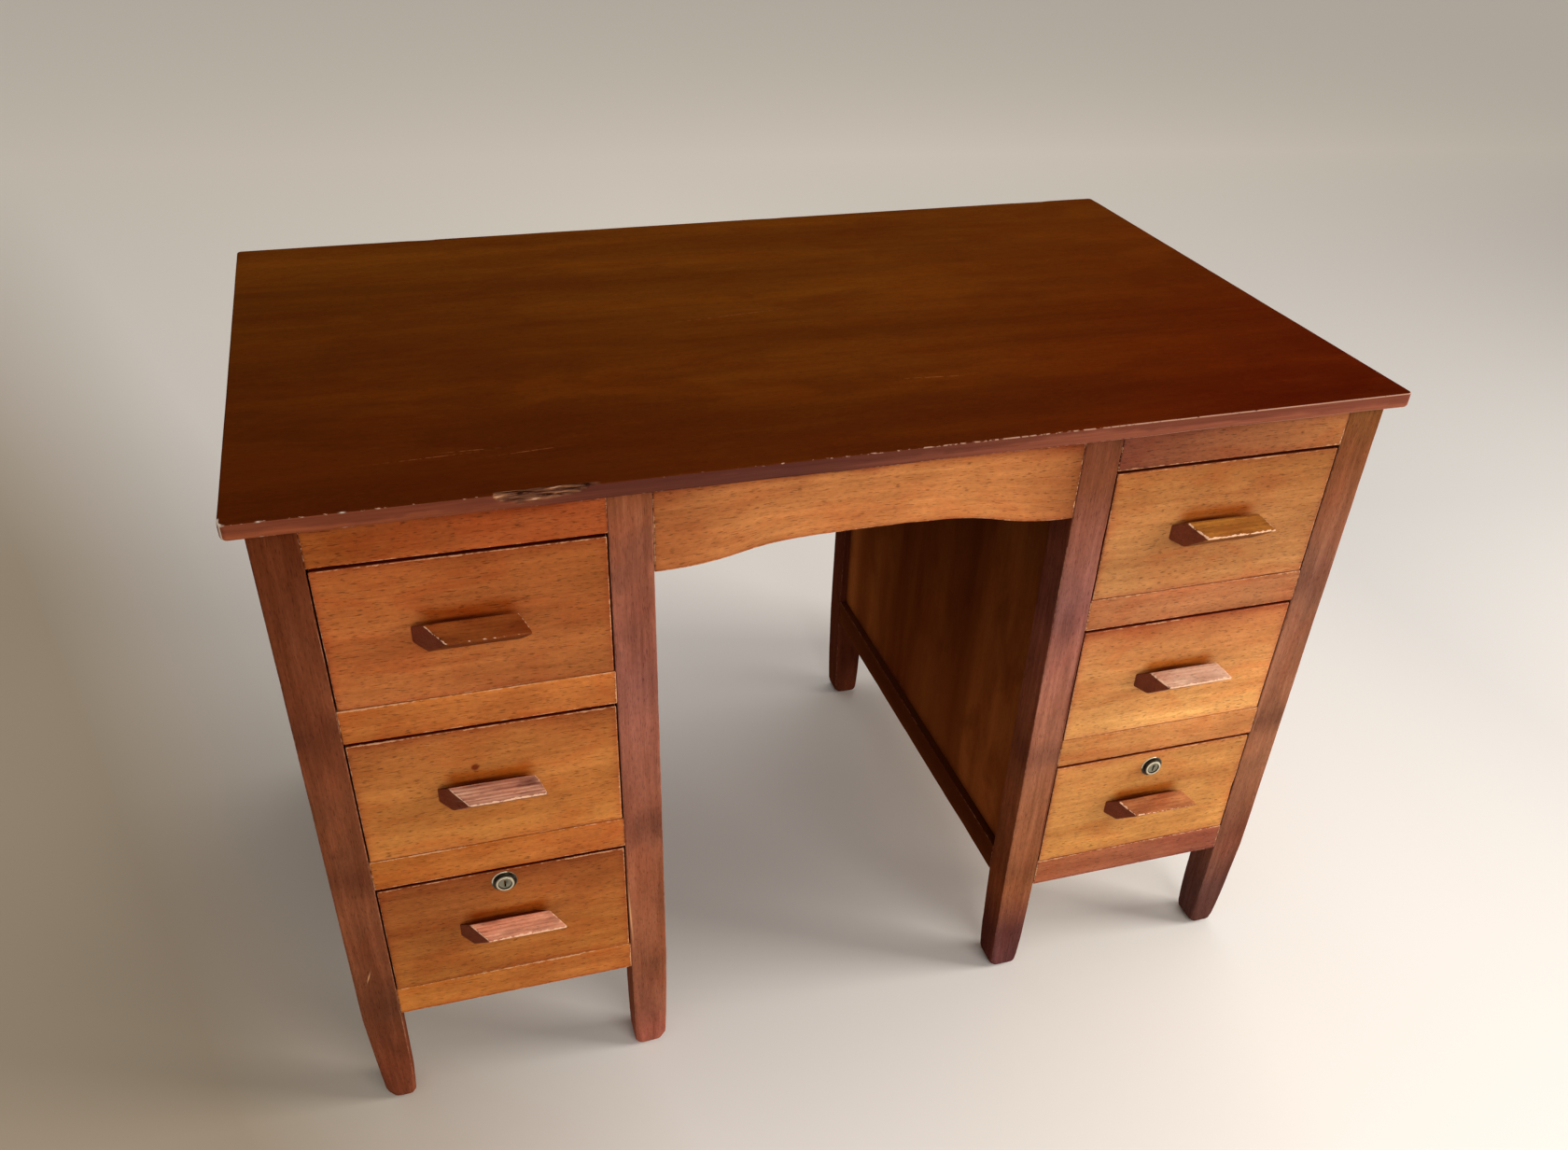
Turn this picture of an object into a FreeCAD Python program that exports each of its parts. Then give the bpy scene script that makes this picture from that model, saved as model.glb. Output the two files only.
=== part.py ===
import FreeCAD, Part
import os

import Sketcher
from FreeCAD import Placement, Rotation, Vector

# A twin-pedestal desk: X runs to the right, Y to the back and Z up. The origin lies on the floor under the
# middle of the desk's box, whose front is the noses of the handles.

os.makedirs("parts", exist_ok=True)
doc = FreeCAD.newDocument("desk")
sheet = doc.addObject("Spreadsheet::Sheet", "sizes")

# Driving sizes in millimetres, by the piece that they belong to
SIZES = {
    "desk": {
        "total_height": 770,
        "side_overhang": 17,
        "front_overhang": 14,
        "back_overhang": 12,
    },
    "top": {
        "top_width": 1140,
        "top_depth": 690,
        "top_thick": 16,
        "top_corner": 6,
        "top_upper_arris": 1.2,
        "top_lower_arris": 4.5,
    },
    "posts": {
        "post_side": 41,
        "post_arris": 1.5,
        "foot_outer_taper": 10,
        "foot_knee_taper": 3,
        "foot_bay_taper": 1,
        "foot_face_taper": 2,
        "foot_rear_taper": 1.2,
        "foot_arris": 5,
        "sole_arris": 4.8,
    },
    "rails": {
        "opening_width": 258,
        "opening_tall": 151,
        "top_rail_tall": 41,
        "divider_tall": 38,
        "bottom_rail_tall": 38,
        "rail_thick": 22,
        "rail_arris": 0.8,
        "tenon_long": 17,
        "tenon_thick": 8,
        "tenon_shoulder": 7,
    },
    "panels": {
        "panel_thick": 6,
        "panel_recess": 10,
        "groove_deep": 6,
    },
    "aprons": {
        "apron_tall": 87.5,
        "apron_flat_share": 0.02,
        "apron_sweep_share": 0.34,
        "apron_rise": 17.5,
        "arch_rise": 1,
        "rear_apron_tall": 60,
    },
    "runners": {
        "runner_tall": 24,
        "runner_lap": 16,
        "guide_tall": 16,
        "stop_tall": 10,
        "stop_long": 24.7,
        "slide_gap": 0.3,
    },
    "drawers": {
        "front_thick": 20,
        "front_side_gap": 1.5,
        "front_top_gap": 3.5,
        "front_floor_gap": 1,
        "front_arris": 1.2,
        "box_side_thick": 10,
        "box_tall": 122,
        "rebate_deep": 12,
        "box_back_drop": 10,
        "bottom_thick": 4,
        "bottom_raise": 8,
        "bottom_groove": 5,
    },
    "handles": {
        "handle_long": 84,
        "handle_out": 28,
        "handle_crest_out": 11,
        "handle_crest_up": 14,
        "handle_back_up": 7,
        "handle_nose_up": 2.5,
        "handle_nose_blunt": 2,
        "handle_keel_out": 12,
        "handle_keel_down": 14,
        "handle_back_down": 9.5,
        "handle_offset": 3.5,
    },
    "locks": {
        "lock_drop_left": 19,
        "lock_drop_right": 25,
        "barrel_radius": 10,
        "barrel_proud": 5,
        "barrel_rim": 1.2,
        "ring_radius": 13.4,
        "ring_proud": 0.6,
        "ring_deep": 1.6,
        "ring_rim": 0.4,
        "lock_fit": 0.1,
        "plug_radius": 7,
        "plug_sink": 1,
        "plug_fit": 0.05,
        "keyway_long": 9,
        "keyway_wide": 1.8,
        "keyway_deep": 14,
        "case_wide": 34,
        "case_low": 12,
        "case_wall": 2.4,
        "bolt_wide": 24,
        "bolt_thick": 3,
        "bolt_fit": 0.3,
        "bolt_low": 9,
        "pin_radius": 1.5,
        "pin_throw": 5,
        "pin_play": 0.6,
    },
    "top screws": {
        "screw_long": 35,
        "screw_radius": 2,
        "screw_head_radius": 4.2,
        "screw_head_tall": 2.6,
        "screw_pocket_radius": 5,
        "screw_pocket_deep": 18,
        "screw_spread": 400,
    },
    "cuts": {
        "overrun": 2,
        "edge_match": 0.01,
    },
}

row = 0
for heading, values in SIZES.items():
    row += 1
    sheet.set(f"A{row}", heading)
    for alias, length in values.items():
        row += 1
        sheet.set(f"A{row}", alias)
        sheet.set(f"B{row}", str(length))
        sheet.setAlias(f"B{row}", alias)
doc.recompute()


# Expressions over the driving sizes
def of(alias):
    """The expression for one driving size."""
    return f"sizes.{alias}"


def less(first, *others):
    """The expression for a first length less the others."""
    return "(" + " - ".join([first, *others]) + ")"


def plus(*terms):
    """The expression for a sum of lengths."""
    return "(" + " + ".join(terms) + ")"


def half(length):
    """The expression for half a length."""
    return f"({length}) / 2"


def negative(length):
    """The expression for a length the other way."""
    return f"-({length})"


def number(expression):
    """The present value of an expression."""
    return float(sheet.evalExpression(expression))


OVER = of("overrun")
POST = of("post_side")
RAIL = of("rail_thick")

# Heights of the levels, from the floor up
TOP_UNDER = less(of("total_height"), of("top_thick"))
FOOT = less(TOP_UNDER, of("top_rail_tall"), f"3 * {of('opening_tall')}", f"2 * {of('divider_tall')}",
            of("bottom_rail_tall"))
SILL = plus(FOOT, of("bottom_rail_tall"))
LIFT = plus(of("opening_tall"), of("divider_tall"))
FLOORS = [plus(SILL, f"2 * {LIFT}"), plus(SILL, LIFT), SILL]
RAIL_UNDER = less(TOP_UNDER, of("top_rail_tall"))

# Places across and along the desk
OUTER = less(half(of("top_width")), of("side_overhang"))
INNER = less(OUTER, f"2 * {POST}", of("opening_width"))
BAY = plus(INNER, POST)
BAY_END = less(OUTER, POST)
BOX_DEPTH = less(plus(of("top_depth"), of("handle_out")), of("front_overhang"))
FRONT = less(of("handle_out"), half(BOX_DEPTH))
BACK = less(half(BOX_DEPTH), of("back_overhang"))
POST_BACK = plus(FRONT, POST)
REAR_POST = less(BACK, POST)
TENON_INSET = half(less(RAIL, of("tenon_thick")))
PANEL_IN = plus(of("panel_recess"), of("panel_thick"))

SIDES = {"left": -1, "right": 1}
lows = {}


def mirrored(sign, low, span):
    """The lower end of a span that starts at low on the right-hand side of the desk."""
    return low if sign > 0 else negative(plus(low, span))


def place(thing, low):
    """Ties a thing's placement to a point of the desk."""
    for axis, expression in zip("xyz", low):
        thing.setExpression(f"Placement.Base.{axis}", expression)


def new_body(label, low):
    """A body whose own corner lies at a point of the desk."""
    body = doc.addObject("PartDesign::Body", label)
    body.Label = label
    place(body, low)
    lows[body.Name] = low
    return body


def local(body, point):
    """A point of the desk in a body's own frame."""
    return [less(there, here) for there, here in zip(point, lows[body.Name])]


def outline(body, name, role, points, lift=None):
    """A closed sketch through points, each held by its two distances from the body's corner."""
    sketch = body.newObject("Sketcher::SketchObject", name)
    plane = next(item for item in body.Origin.OriginFeatures if item.Role == role)
    sketch.AttachmentSupport = [(plane, "")]
    sketch.MapMode = "FlatFace"
    if lift:
        sketch.setExpression("AttachmentOffset.Base.z", lift)
    spots = [Vector(number(across), number(up), 0) for across, up in points]
    for start, end in zip(spots, spots[1:] + spots[:1]):
        sketch.addGeometry(Part.LineSegment(start, end), False)
    count = len(points)
    for index in range(count):
        sketch.addConstraint(Sketcher.Constraint("Coincident", index, 2, (index + 1) % count, 1))
    for index, (expressions, spot) in enumerate(zip(points, spots)):
        for kind, expression, length in zip(("DistanceX", "DistanceY"), expressions, spot):
            held = sketch.addConstraint(Sketcher.Constraint(kind, -1, 1, index, 1, length))
            sketch.setExpression(f"Constraints[{held}]", expression)
    return sketch


def rectangle(low, span):
    """The four corners of a rectangle."""
    far = [plus(start, length) for start, length in zip(low, span)]
    return [(low[0], low[1]), (far[0], low[1]), (far[0], far[1]), (low[0], far[1])]


def pad(body, name, sketch, length):
    """Thickens a sketch."""
    solid = body.newObject("PartDesign::Pad", name)
    solid.Profile = sketch
    solid.setExpression("Length", length)
    return solid


def board(label, low, span):
    """A plain board between a corner and its span, as a sketch and a pad."""
    body = new_body(label, low)
    sketch = outline(body, label + "_plan", "XY_Plane", rectangle(("0", "0"), span[:2]))
    pad(body, label + "_blank", sketch, span[2])
    return body


def box(body, name, kind, low, span):
    """Adds or cuts a block that is given in the desk's frame."""
    block = body.newObject(f"PartDesign::{kind}Box", f"{body.Name}_{name}")
    for side, length in zip(("Length", "Width", "Height"), span):
        block.setExpression(side, length)
    place(block, local(body, low))
    return block


def cylinder(body, name, kind, start, axis, radius, length):
    """Adds or cuts a round bar that is given in the desk's frame."""
    bar = body.newObject(f"PartDesign::{kind}Cylinder", f"{body.Name}_{name}")
    bar.setExpression("Radius", radius)
    bar.setExpression("Height", length)
    bar.Placement = Placement(Vector(), Rotation(Vector(0, 0, 1), Vector(*axis)))
    place(bar, local(body, start))
    return bar


def soften(body, name, radius, picks):
    """Rounds the edges that a test picks."""
    doc.recompute()
    base = body.Tip
    names = [f"Edge{index}" for index, edge in enumerate(base.Shape.Edges, 1) if picks(edge.BoundBox)]
    rounding = body.newObject("PartDesign::Fillet", f"{body.Name}_{name}")
    rounding.Base = (base, names)
    rounding.setExpression("Radius", radius)
    return rounding


def at(edge, axis, expression):
    """Whether an edge's box lies in one plane across an axis."""
    low = getattr(edge, axis + "Min")
    high = getattr(edge, axis + "Max")
    middle = number(expression)
    near = number(of("edge_match"))
    return abs(low - middle) < near and abs(high - middle) < near


def group(label, pieces):
    """One node for like pieces that stay separate solids."""
    joined = doc.addObject("Part::Compound", label)
    joined.Label = label
    joined.Links = pieces
    return joined


nodes = []


# Posts: square, with a mortise for every rail, grooves for the panels and a tapered foot
def post(side, sign, inner, front):
    """One post with its foot."""
    where = "inner" if inner else "outer"
    face = "front" if front else "back"
    x_low = mirrored(sign, INNER if inner else BAY_END, POST)
    y_low = FRONT if front else REAR_POST
    body = new_body(f"{side}_{where}_{face}_post", (x_low, y_low, "0"))
    square = rectangle(("0", "0"), (POST, POST))
    trunk = outline(body, body.Name + "_square", "XY_Plane", square, FOOT)
    trunk_tall = less(TOP_UNDER, FOOT)
    pad(body, body.Name + "_trunk", trunk, trunk_tall)
    soften(body, "long_arrises", of("post_arris"), lambda edge: edge.ZLength > number(half(trunk_tall)))
    shown = of("foot_knee_taper") if inner else of("foot_outer_taper")
    hidden = of("foot_bay_taper")
    left, right = (shown, hidden) if (sign < 0) != inner else (hidden, shown)
    near = of("foot_face_taper") if front else of("foot_rear_taper")
    far = of("foot_rear_taper") if front else of("foot_face_taper")
    sole = rectangle((left, near), (less(POST, left, right), less(POST, near, far)))
    foot_body = new_body(body.Name + "_foot_form", ("0", "0", "0"))
    upper = outline(foot_body, body.Name + "_ankle", "XY_Plane", square, FOOT)
    lower = outline(foot_body, body.Name + "_sole", "XY_Plane", sole)
    foot = foot_body.newObject("PartDesign::AdditiveLoft", body.Name + "_foot")
    foot.Profile = upper
    foot.Sections = [lower]
    foot.Ruled = True
    soften(foot_body, "foot_arrises", of("foot_arris"), lambda edge: edge.ZLength > number(half(FOOT)))
    soften(foot_body, "sole_arrises", of("sole_arris"), lambda edge: at(edge, "Z", "0"))
    joined = body.newObject("PartDesign::Boolean", body.Name + "_with_foot")
    joined.Type = "Fuse"
    joined.setObjects([foot_body])
    mortises(body, sign, inner, front)
    return body


def mortises(body, sign, inner, front):
    """Cuts what the rails, apron and panels of one post go into."""
    shoulder = of("tenon_shoulder")
    thick = of("tenon_thick")
    deep = of("tenon_long")
    rail_levels = [(FOOT, of("bottom_rail_tall")), (RAIL_UNDER, of("top_rail_tall"))]
    if front:
        rail_levels += [(less(level, of("divider_tall")), of("divider_tall")) for level in FLOORS[:2]]
    y_tenon = plus(FRONT, TENON_INSET) if front else less(BACK, TENON_INSET, thick)
    bay_start = less(BAY, deep) if inner else BAY_END
    for index, (level, tall) in enumerate(rail_levels):
        low = (mirrored(sign, bay_start, deep), y_tenon, plus(level, shoulder))
        box(body, f"face_mortise_{index}", "Subtractive", low, (deep, thick, less(tall, f"2 * {shoulder}")))
    x_tenon = plus(INNER, TENON_INSET) if inner else less(OUTER, TENON_INSET, thick)
    y_deep = less(POST_BACK, deep) if front else REAR_POST
    for index, (level, tall) in enumerate(rail_levels[:2]):
        low = (mirrored(sign, x_tenon, thick), y_deep, plus(level, shoulder))
        box(body, f"side_mortise_{index}", "Subtractive", low, (thick, deep, less(tall, f"2 * {shoulder}")))
    if inner:
        tall = of("apron_tall") if front else of("rear_apron_tall")
        low = (mirrored(sign, INNER, deep), y_tenon, plus(less(TOP_UNDER, tall), shoulder))
        box(body, "apron_mortise", "Subtractive", low, (deep, thick, less(tall, f"2 * {shoulder}")))
    groove = of("groove_deep")
    thin = of("panel_thick")
    z_low = less(SILL, groove)
    z_span = less(plus(RAIL_UNDER, groove), z_low)
    x_panel = plus(INNER, of("panel_recess")) if inner else less(OUTER, PANEL_IN)
    y_groove = less(POST_BACK, groove) if front else REAR_POST
    side_low = (mirrored(sign, x_panel, thin), y_groove, z_low)
    box(body, "side_groove", "Subtractive", side_low, (thin, groove, z_span))
    if not front:
        x_groove = less(BAY, groove) if inner else BAY_END
        low = (mirrored(sign, x_groove, groove), less(BACK, PANEL_IN), z_low)
        box(body, "back_groove", "Subtractive", low, (groove, thin, z_span))


for side, sign in SIDES.items():
    for inner in (False, True):
        for front in (True, False):
            nodes.append(post(side, sign, inner, front))


# Rails: boards on edge with a stub tenon at each end
def rail(label, low, span, along, shown=False):
    """A rail with its tenons, along X (0) or Y (1); a shown one has softened front arrises."""
    body = board(label, low, span)
    if shown:
        soften(body, "arrises", of("rail_arris"), lambda edge: at(edge, "Y", "0") and not edge.ZLength)
    deep = of("tenon_long")
    shoulder = of("tenon_shoulder")
    thick = of("tenon_thick")
    tall = less(span[2], f"2 * {shoulder}")
    ends = (less(low[along], deep), plus(low[along], span[along]))
    for index, start in enumerate(ends):
        tenon_low = [plus(low[0], TENON_INSET), plus(low[1], TENON_INSET), plus(low[2], shoulder)]
        tenon_low[along] = start
        tenon_span = [thick, thick, tall]
        tenon_span[along] = deep
        box(body, f"tenon_{index}", "Additive", tenon_low, tenon_span)
    return body


def screw_holes(body, spots, rail_low):
    """Bores a rail for screws into the top, with pockets for their heads."""
    for index, (across, along) in enumerate(spots):
        start = (across, along, rail_low)
        pocket = of("screw_pocket_deep")
        cylinder(body, f"pocket_{index}", "Subtractive", start, (0, 0, 1), of("screw_pocket_radius"), pocket)
        through = less(plus(TOP_UNDER, OVER), rail_low)
        cylinder(body, f"screw_hole_{index}", "Subtractive", start, (0, 0, 1), of("screw_radius"), through)


RAIL_MIDDLE = half(RAIL)
SIDE_LENGTH = less(REAR_POST, POST_BACK)
KNEE_LENGTH = f"2 * {INNER}"
SCREW_ROWS = [negative(half(of("screw_spread"))), half(of("screw_spread"))]
screw_spots = []

for side, sign in SIDES.items():
    bay_low = mirrored(sign, BAY, of("opening_width"))
    bay_middle = plus(bay_low, half(of("opening_width")))
    front_rails = {
        "top_rail": (RAIL_UNDER, of("top_rail_tall")),
        "upper_divider": (less(FLOORS[0], of("divider_tall")), of("divider_tall")),
        "lower_divider": (less(FLOORS[1], of("divider_tall")), of("divider_tall")),
        "bottom_rail": (FOOT, of("bottom_rail_tall")),
    }
    for name, (level, tall) in front_rails.items():
        span = (of("opening_width"), RAIL, tall)
        piece = rail(f"{side}_{name}", (bay_low, FRONT, level), span, 0, True)
        if name == "top_rail":
            spot = (bay_middle, plus(FRONT, RAIL_MIDDLE))
            screw_holes(piece, [spot], RAIL_UNDER)
            screw_spots.append(spot)
        nodes.append(piece)

    frame = []
    levels = {"top": (RAIL_UNDER, of("top_rail_tall")), "bottom": (FOOT, of("bottom_rail_tall"))}
    for height, (level, tall) in levels.items():
        z_groove = RAIL_UNDER if height == "top" else less(SILL, of("groove_deep"))
        for where in ("outer", "inner"):
            x_low = mirrored(sign, less(OUTER, RAIL) if where == "outer" else INNER, RAIL)
            name = f"{side}_{where}_{height}_side_rail"
            piece = rail(name, (x_low, POST_BACK, level), (RAIL, SIDE_LENGTH, tall), 1)
            x_panel = less(OUTER, PANEL_IN) if where == "outer" else plus(INNER, of("panel_recess"))
            groove_low = (mirrored(sign, x_panel, of("panel_thick")), POST_BACK, z_groove)
            groove_span = (of("panel_thick"), SIDE_LENGTH, of("groove_deep"))
            box(piece, "groove", "Subtractive", groove_low, groove_span)
            if height == "top":
                middle = plus(x_low, RAIL_MIDDLE)
                spots = [(middle, along) for along in SCREW_ROWS]
                screw_holes(piece, spots, RAIL_UNDER)
                screw_spots += spots
            frame.append(piece)
        piece = rail(f"{side}_back_{height}_rail", (bay_low, less(BACK, RAIL), level),
                     (of("opening_width"), RAIL, tall), 0)
        groove_low = (bay_low, less(BACK, PANEL_IN), z_groove)
        groove_span = (of("opening_width"), of("panel_thick"), of("groove_deep"))
        box(piece, "groove", "Subtractive", groove_low, groove_span)
        if height == "top":
            spot = (bay_middle, less(BACK, RAIL_MIDDLE))
            screw_holes(piece, [spot], RAIL_UNDER)
            screw_spots.append(spot)
        frame.append(piece)
    nodes.append(group(f"{side}_frame_rails", frame))


# Panels: thin boards held in the grooves of posts and rails
for side, sign in SIDES.items():
    tongue = of("groove_deep")
    z_low = less(SILL, tongue)
    z_span = less(plus(RAIL_UNDER, tongue), z_low)
    for where in ("outer", "inner"):
        x_panel = less(OUTER, PANEL_IN) if where == "outer" else plus(INNER, of("panel_recess"))
        low = (mirrored(sign, x_panel, of("panel_thick")), less(POST_BACK, tongue), z_low)
        span = (of("panel_thick"), plus(SIDE_LENGTH, f"2 * {tongue}"), z_span)
        nodes.append(board(f"{side}_{where}_panel", low, span))
    back_wide = plus(of("opening_width"), f"2 * {tongue}")
    low = (mirrored(sign, less(BAY, tongue), back_wide), less(BACK, PANEL_IN), z_low)
    nodes.append(board(f"{side}_back_panel", low, (back_wide, of("panel_thick"), z_span)))


# Aprons: the front one has a flat at each end, an ogee, and a long shallow arch
def front_apron():
    """The shaped board over the knee space."""
    low = (negative(INNER), FRONT, less(TOP_UNDER, of("apron_tall")))
    body = rail("front_apron", low, (KNEE_LENGTH, RAIL, of("apron_tall")), 0, True)
    sketch = body.newObject("Sketcher::SketchObject", "apron_sweep_line")
    plane = next(item for item in body.Origin.OriginFeatures if item.Role == "XZ_Plane")
    sketch.AttachmentSupport = [(plane, "")]
    sketch.MapMode = "FlatFace"
    flat = f"({of('apron_flat_share')} * {KNEE_LENGTH})"
    sweep = f"({of('apron_sweep_share')} * {KNEE_LENGTH})"
    rise = of("apron_rise")
    far = less(KNEE_LENGTH, flat)
    below = negative(OVER)
    marks = [
        (flat, "0"), (plus(flat, half(sweep)), half(rise)), (plus(flat, sweep), rise),
        (less(far, sweep), rise), (less(far, half(sweep)), half(rise)), (far, "0"),
        (far, below), (flat, below),
    ]
    spots = [Vector(number(across), number(up), 0) for across, up in marks]
    small = f"({sweep} * {sweep} + {rise} * {rise}) / (4 * {rise})"
    chord = half(less(far, flat, f"2 * {sweep}"))
    large = f"({chord} * {chord} + {of('arch_rise')} * {of('arch_rise')}) / (2 * {of('arch_rise')})"
    radii = [small, small, large, small, small]
    bends = [1, -1, -1, -1, 1]
    for index, (radius, bend) in enumerate(zip(radii, bends)):
        start, end = spots[index], spots[index + 1]
        middle = (start + end) / 2
        run = (end - start).Length / 2
        reach = number(radius)
        sag = reach - (reach * reach - run * run) ** 0.5
        across = Vector(end.y - start.y, start.x - end.x, 0).normalize()
        sketch.addGeometry(Part.Arc(start, middle + across * sag * bend, end), False)
    for start, end in zip(spots[5:], spots[6:] + spots[:1]):
        sketch.addGeometry(Part.LineSegment(start, end), False)
    arcs = len(radii)
    ends = [(2, 1) if bend > 0 else (1, 2) for bend in bends] + [(2, 1)] * (len(spots) - arcs)
    count = len(spots)
    for index in range(count):
        after = (index + 1) % count
        sketch.addConstraint(Sketcher.Constraint("Coincident", index, ends[index][0], after, ends[after][1]))
    for index, (expressions, spot) in enumerate(zip(marks, spots)):
        for kind, expression, length in zip(("DistanceX", "DistanceY"), expressions, spot):
            held = sketch.addConstraint(Sketcher.Constraint(kind, -1, 1, index, ends[index][1], length))
            sketch.setExpression(f"Constraints[{held}]", expression)
    for index, radius in enumerate(radii):
        held = sketch.addConstraint(Sketcher.Constraint("Radius", index, number(radius)))
        sketch.setExpression(f"Constraints[{held}]", radius)
    cut = body.newObject("PartDesign::Pocket", "apron_shaping")
    cut.Profile = sketch
    cut.Type = "ThroughAll"
    cut.Midplane = True
    return body


nodes.append(front_apron())
rear_low = (negative(INNER), less(BACK, RAIL), less(TOP_UNDER, of("rear_apron_tall")))
nodes.append(rail("rear_apron", rear_low, (KNEE_LENGTH, RAIL, of("rear_apron_tall")), 0))


# Runners: a bearer, a guide that steers the drawer and a stop behind it, on both sides of each drawer
BOX_START = less(plus(FRONT, of("front_thick")), of("rebate_deep"))
STOP_START = less(REAR_POST, of("stop_long"))
BOX_END = less(STOP_START, of("slide_gap"))
BOX_LENGTH = less(BOX_END, BOX_START)
LAP = of("runner_lap")
GUIDE_WIDE = less(POST, RAIL)


def bearer(label, sign, outer, z_low):
    """A board under or over one side of a drawer, with a nib that meets the front rail."""
    wide = plus(GUIDE_WIDE, LAP)
    x_low = less(BAY_END, LAP) if outer else plus(INNER, RAIL)
    tall = of("runner_tall")
    body = board(label, (mirrored(sign, x_low, wide), POST_BACK, z_low), (wide, SIDE_LENGTH, tall))
    nib_low = (mirrored(sign, x_low if outer else BAY, LAP), plus(FRONT, RAIL), z_low)
    box(body, "nib", "Additive", nib_low, (LAP, GUIDE_WIDE, tall))
    return body


def runner(label, sign, outer, level):
    """A bearer with its guide and stop."""
    x_guide = BAY_END if outer else plus(INNER, RAIL)
    guide_low = (mirrored(sign, x_guide, GUIDE_WIDE), POST_BACK, level)
    guide = board(label + "_guide", guide_low, (GUIDE_WIDE, SIDE_LENGTH, of("guide_tall")))
    x_stop = less(BAY_END, LAP) if outer else BAY
    stop_span = (LAP, of("stop_long"), of("stop_tall"))
    stop = board(label + "_stop", (mirrored(sign, x_stop, LAP), STOP_START, level), stop_span)
    return [bearer(label, sign, outer, less(level, of("runner_tall"))), guide, stop]


for side, sign in SIDES.items():
    strips = []
    for where, outer in (("outer", True), ("inner", False)):
        for rank, level in enumerate(FLOORS, 1):
            strips += runner(f"{side}_{where}_runner_{rank}", sign, outer, level)
        strips.append(bearer(f"{side}_{where}_kicker", sign, outer, RAIL_UNDER))
    nodes.append(group(f"{side}_drawer_runners", strips))


# Top: one board with softened arrises, bored for the screws
def desk_top():
    """The top board."""
    low = (negative(half(of("top_width"))), less(FRONT, of("front_overhang")), TOP_UNDER)
    body = board("top", low, (of("top_width"), of("top_depth"), of("top_thick")))
    soften(body, "corners", of("top_corner"), lambda edge: edge.ZLength > number(half(of("top_thick"))))
    soften(body, "lower_arris", of("top_lower_arris"), lambda edge: at(edge, "Z", "0"))
    soften(body, "upper_arris", of("top_upper_arris"), lambda edge: at(edge, "Z", of("top_thick")))
    bite = less(plus(RAIL_UNDER, of("screw_pocket_deep"), of("screw_long")), TOP_UNDER)
    for index, (across, along) in enumerate(screw_spots):
        start = (across, along, TOP_UNDER)
        cylinder(body, f"screw_hole_{index}", "Subtractive", start, (0, 0, 1), of("screw_radius"), bite)
    return body


nodes.append(desk_top())


# Screws: a flat head in its pocket and a shank up into the top
def top_screw(index, across, along):
    """One screw, head down."""
    seat = plus(RAIL_UNDER, of("screw_pocket_deep"))
    head = doc.addObject("Part::Cylinder", f"screw_head_{index}")
    head.setExpression("Radius", of("screw_head_radius"))
    head.setExpression("Height", of("screw_head_tall"))
    place(head, (across, along, less(seat, of("screw_head_tall"))))
    shank = doc.addObject("Part::Cylinder", f"screw_shank_{index}")
    shank.setExpression("Radius", of("screw_radius"))
    shank.setExpression("Height", of("screw_long"))
    place(shank, (across, along, seat))
    whole = doc.addObject("Part::Fuse", f"screw_{index}")
    whole.Base = head
    whole.Tool = shank
    return whole


nodes.append(group("top_screws", [top_screw(index, *spot) for index, spot in enumerate(screw_spots)]))


# Drawers: a front with rebates, two sides, a back that stands on the bottom, and a handle
def drawer(side, sign, rank, level):
    """One drawer's wooden pieces."""
    name = f"{side}_drawer_{rank}"
    gap = of("front_side_gap")
    wall = of("box_side_thick")
    wide = less(of("opening_width"), f"2 * {gap}")
    x_low = plus(mirrored(sign, BAY, of("opening_width")), gap)
    x_far = less(plus(x_low, wide), wall)
    z_box = plus(level, of("slide_gap"))
    tall = less(of("opening_tall"), of("front_top_gap"), of("front_floor_gap"))
    z_front = plus(level, of("front_floor_gap"))
    face = board(f"{name}_front", (x_low, FRONT, z_front), (wide, of("front_thick"), tall))
    soften(face, "arrises", of("front_arris"), lambda edge: at(edge, "Y", "0"))
    z_cut = less(z_front, OVER)
    cut_tall = less(plus(z_box, of("box_tall")), z_cut)
    for index, across in enumerate((x_low, x_far)):
        cut_low = (across, BOX_START, z_cut)
        box(face, f"rebate_{index}", "Subtractive", cut_low, (wall, of("rebate_deep"), cut_tall))
    groove_in = of("bottom_groove")
    z_bottom = plus(z_box, of("bottom_raise"))
    bottom_x = less(plus(x_low, wall), groove_in)
    bottom_wide = less(plus(wide, f"2 * {groove_in}"), f"2 * {wall}")
    bottom_y = less(plus(FRONT, of("front_thick")), groove_in)
    bottom_long = less(BOX_END, bottom_y)
    thin = of("bottom_thick")
    box(face, "bottom_groove", "Subtractive", (bottom_x, bottom_y, z_bottom), (bottom_wide, groove_in, thin))
    walls = []
    for index, across in enumerate((x_low, x_far)):
        span = (wall, BOX_LENGTH, of("box_tall"))
        piece = board(f"{name}_side_{index}", (across, BOX_START, z_box), span)
        cut_low = (bottom_x if index == 0 else x_far, bottom_y, z_bottom)
        box(piece, "bottom_groove", "Subtractive", cut_low, (groove_in, bottom_long, thin))
        walls.append(piece)
    back_low = (plus(x_low, wall), less(BOX_END, wall), plus(z_bottom, thin))
    back_tall = less(plus(z_box, of("box_tall")), of("box_back_drop"), plus(z_bottom, thin))
    walls.append(board(f"{name}_back", back_low, (less(wide, f"2 * {wall}"), wall, back_tall)))
    bottom = board(f"{name}_bottom", (bottom_x, bottom_y, z_bottom), (bottom_wide, bottom_long, thin))
    middle = (plus(x_low, half(wide)), FRONT, plus(z_front, half(tall)))
    return face, [face, group(f"{name}_box", walls), bottom, handle(name, middle)]


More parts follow.
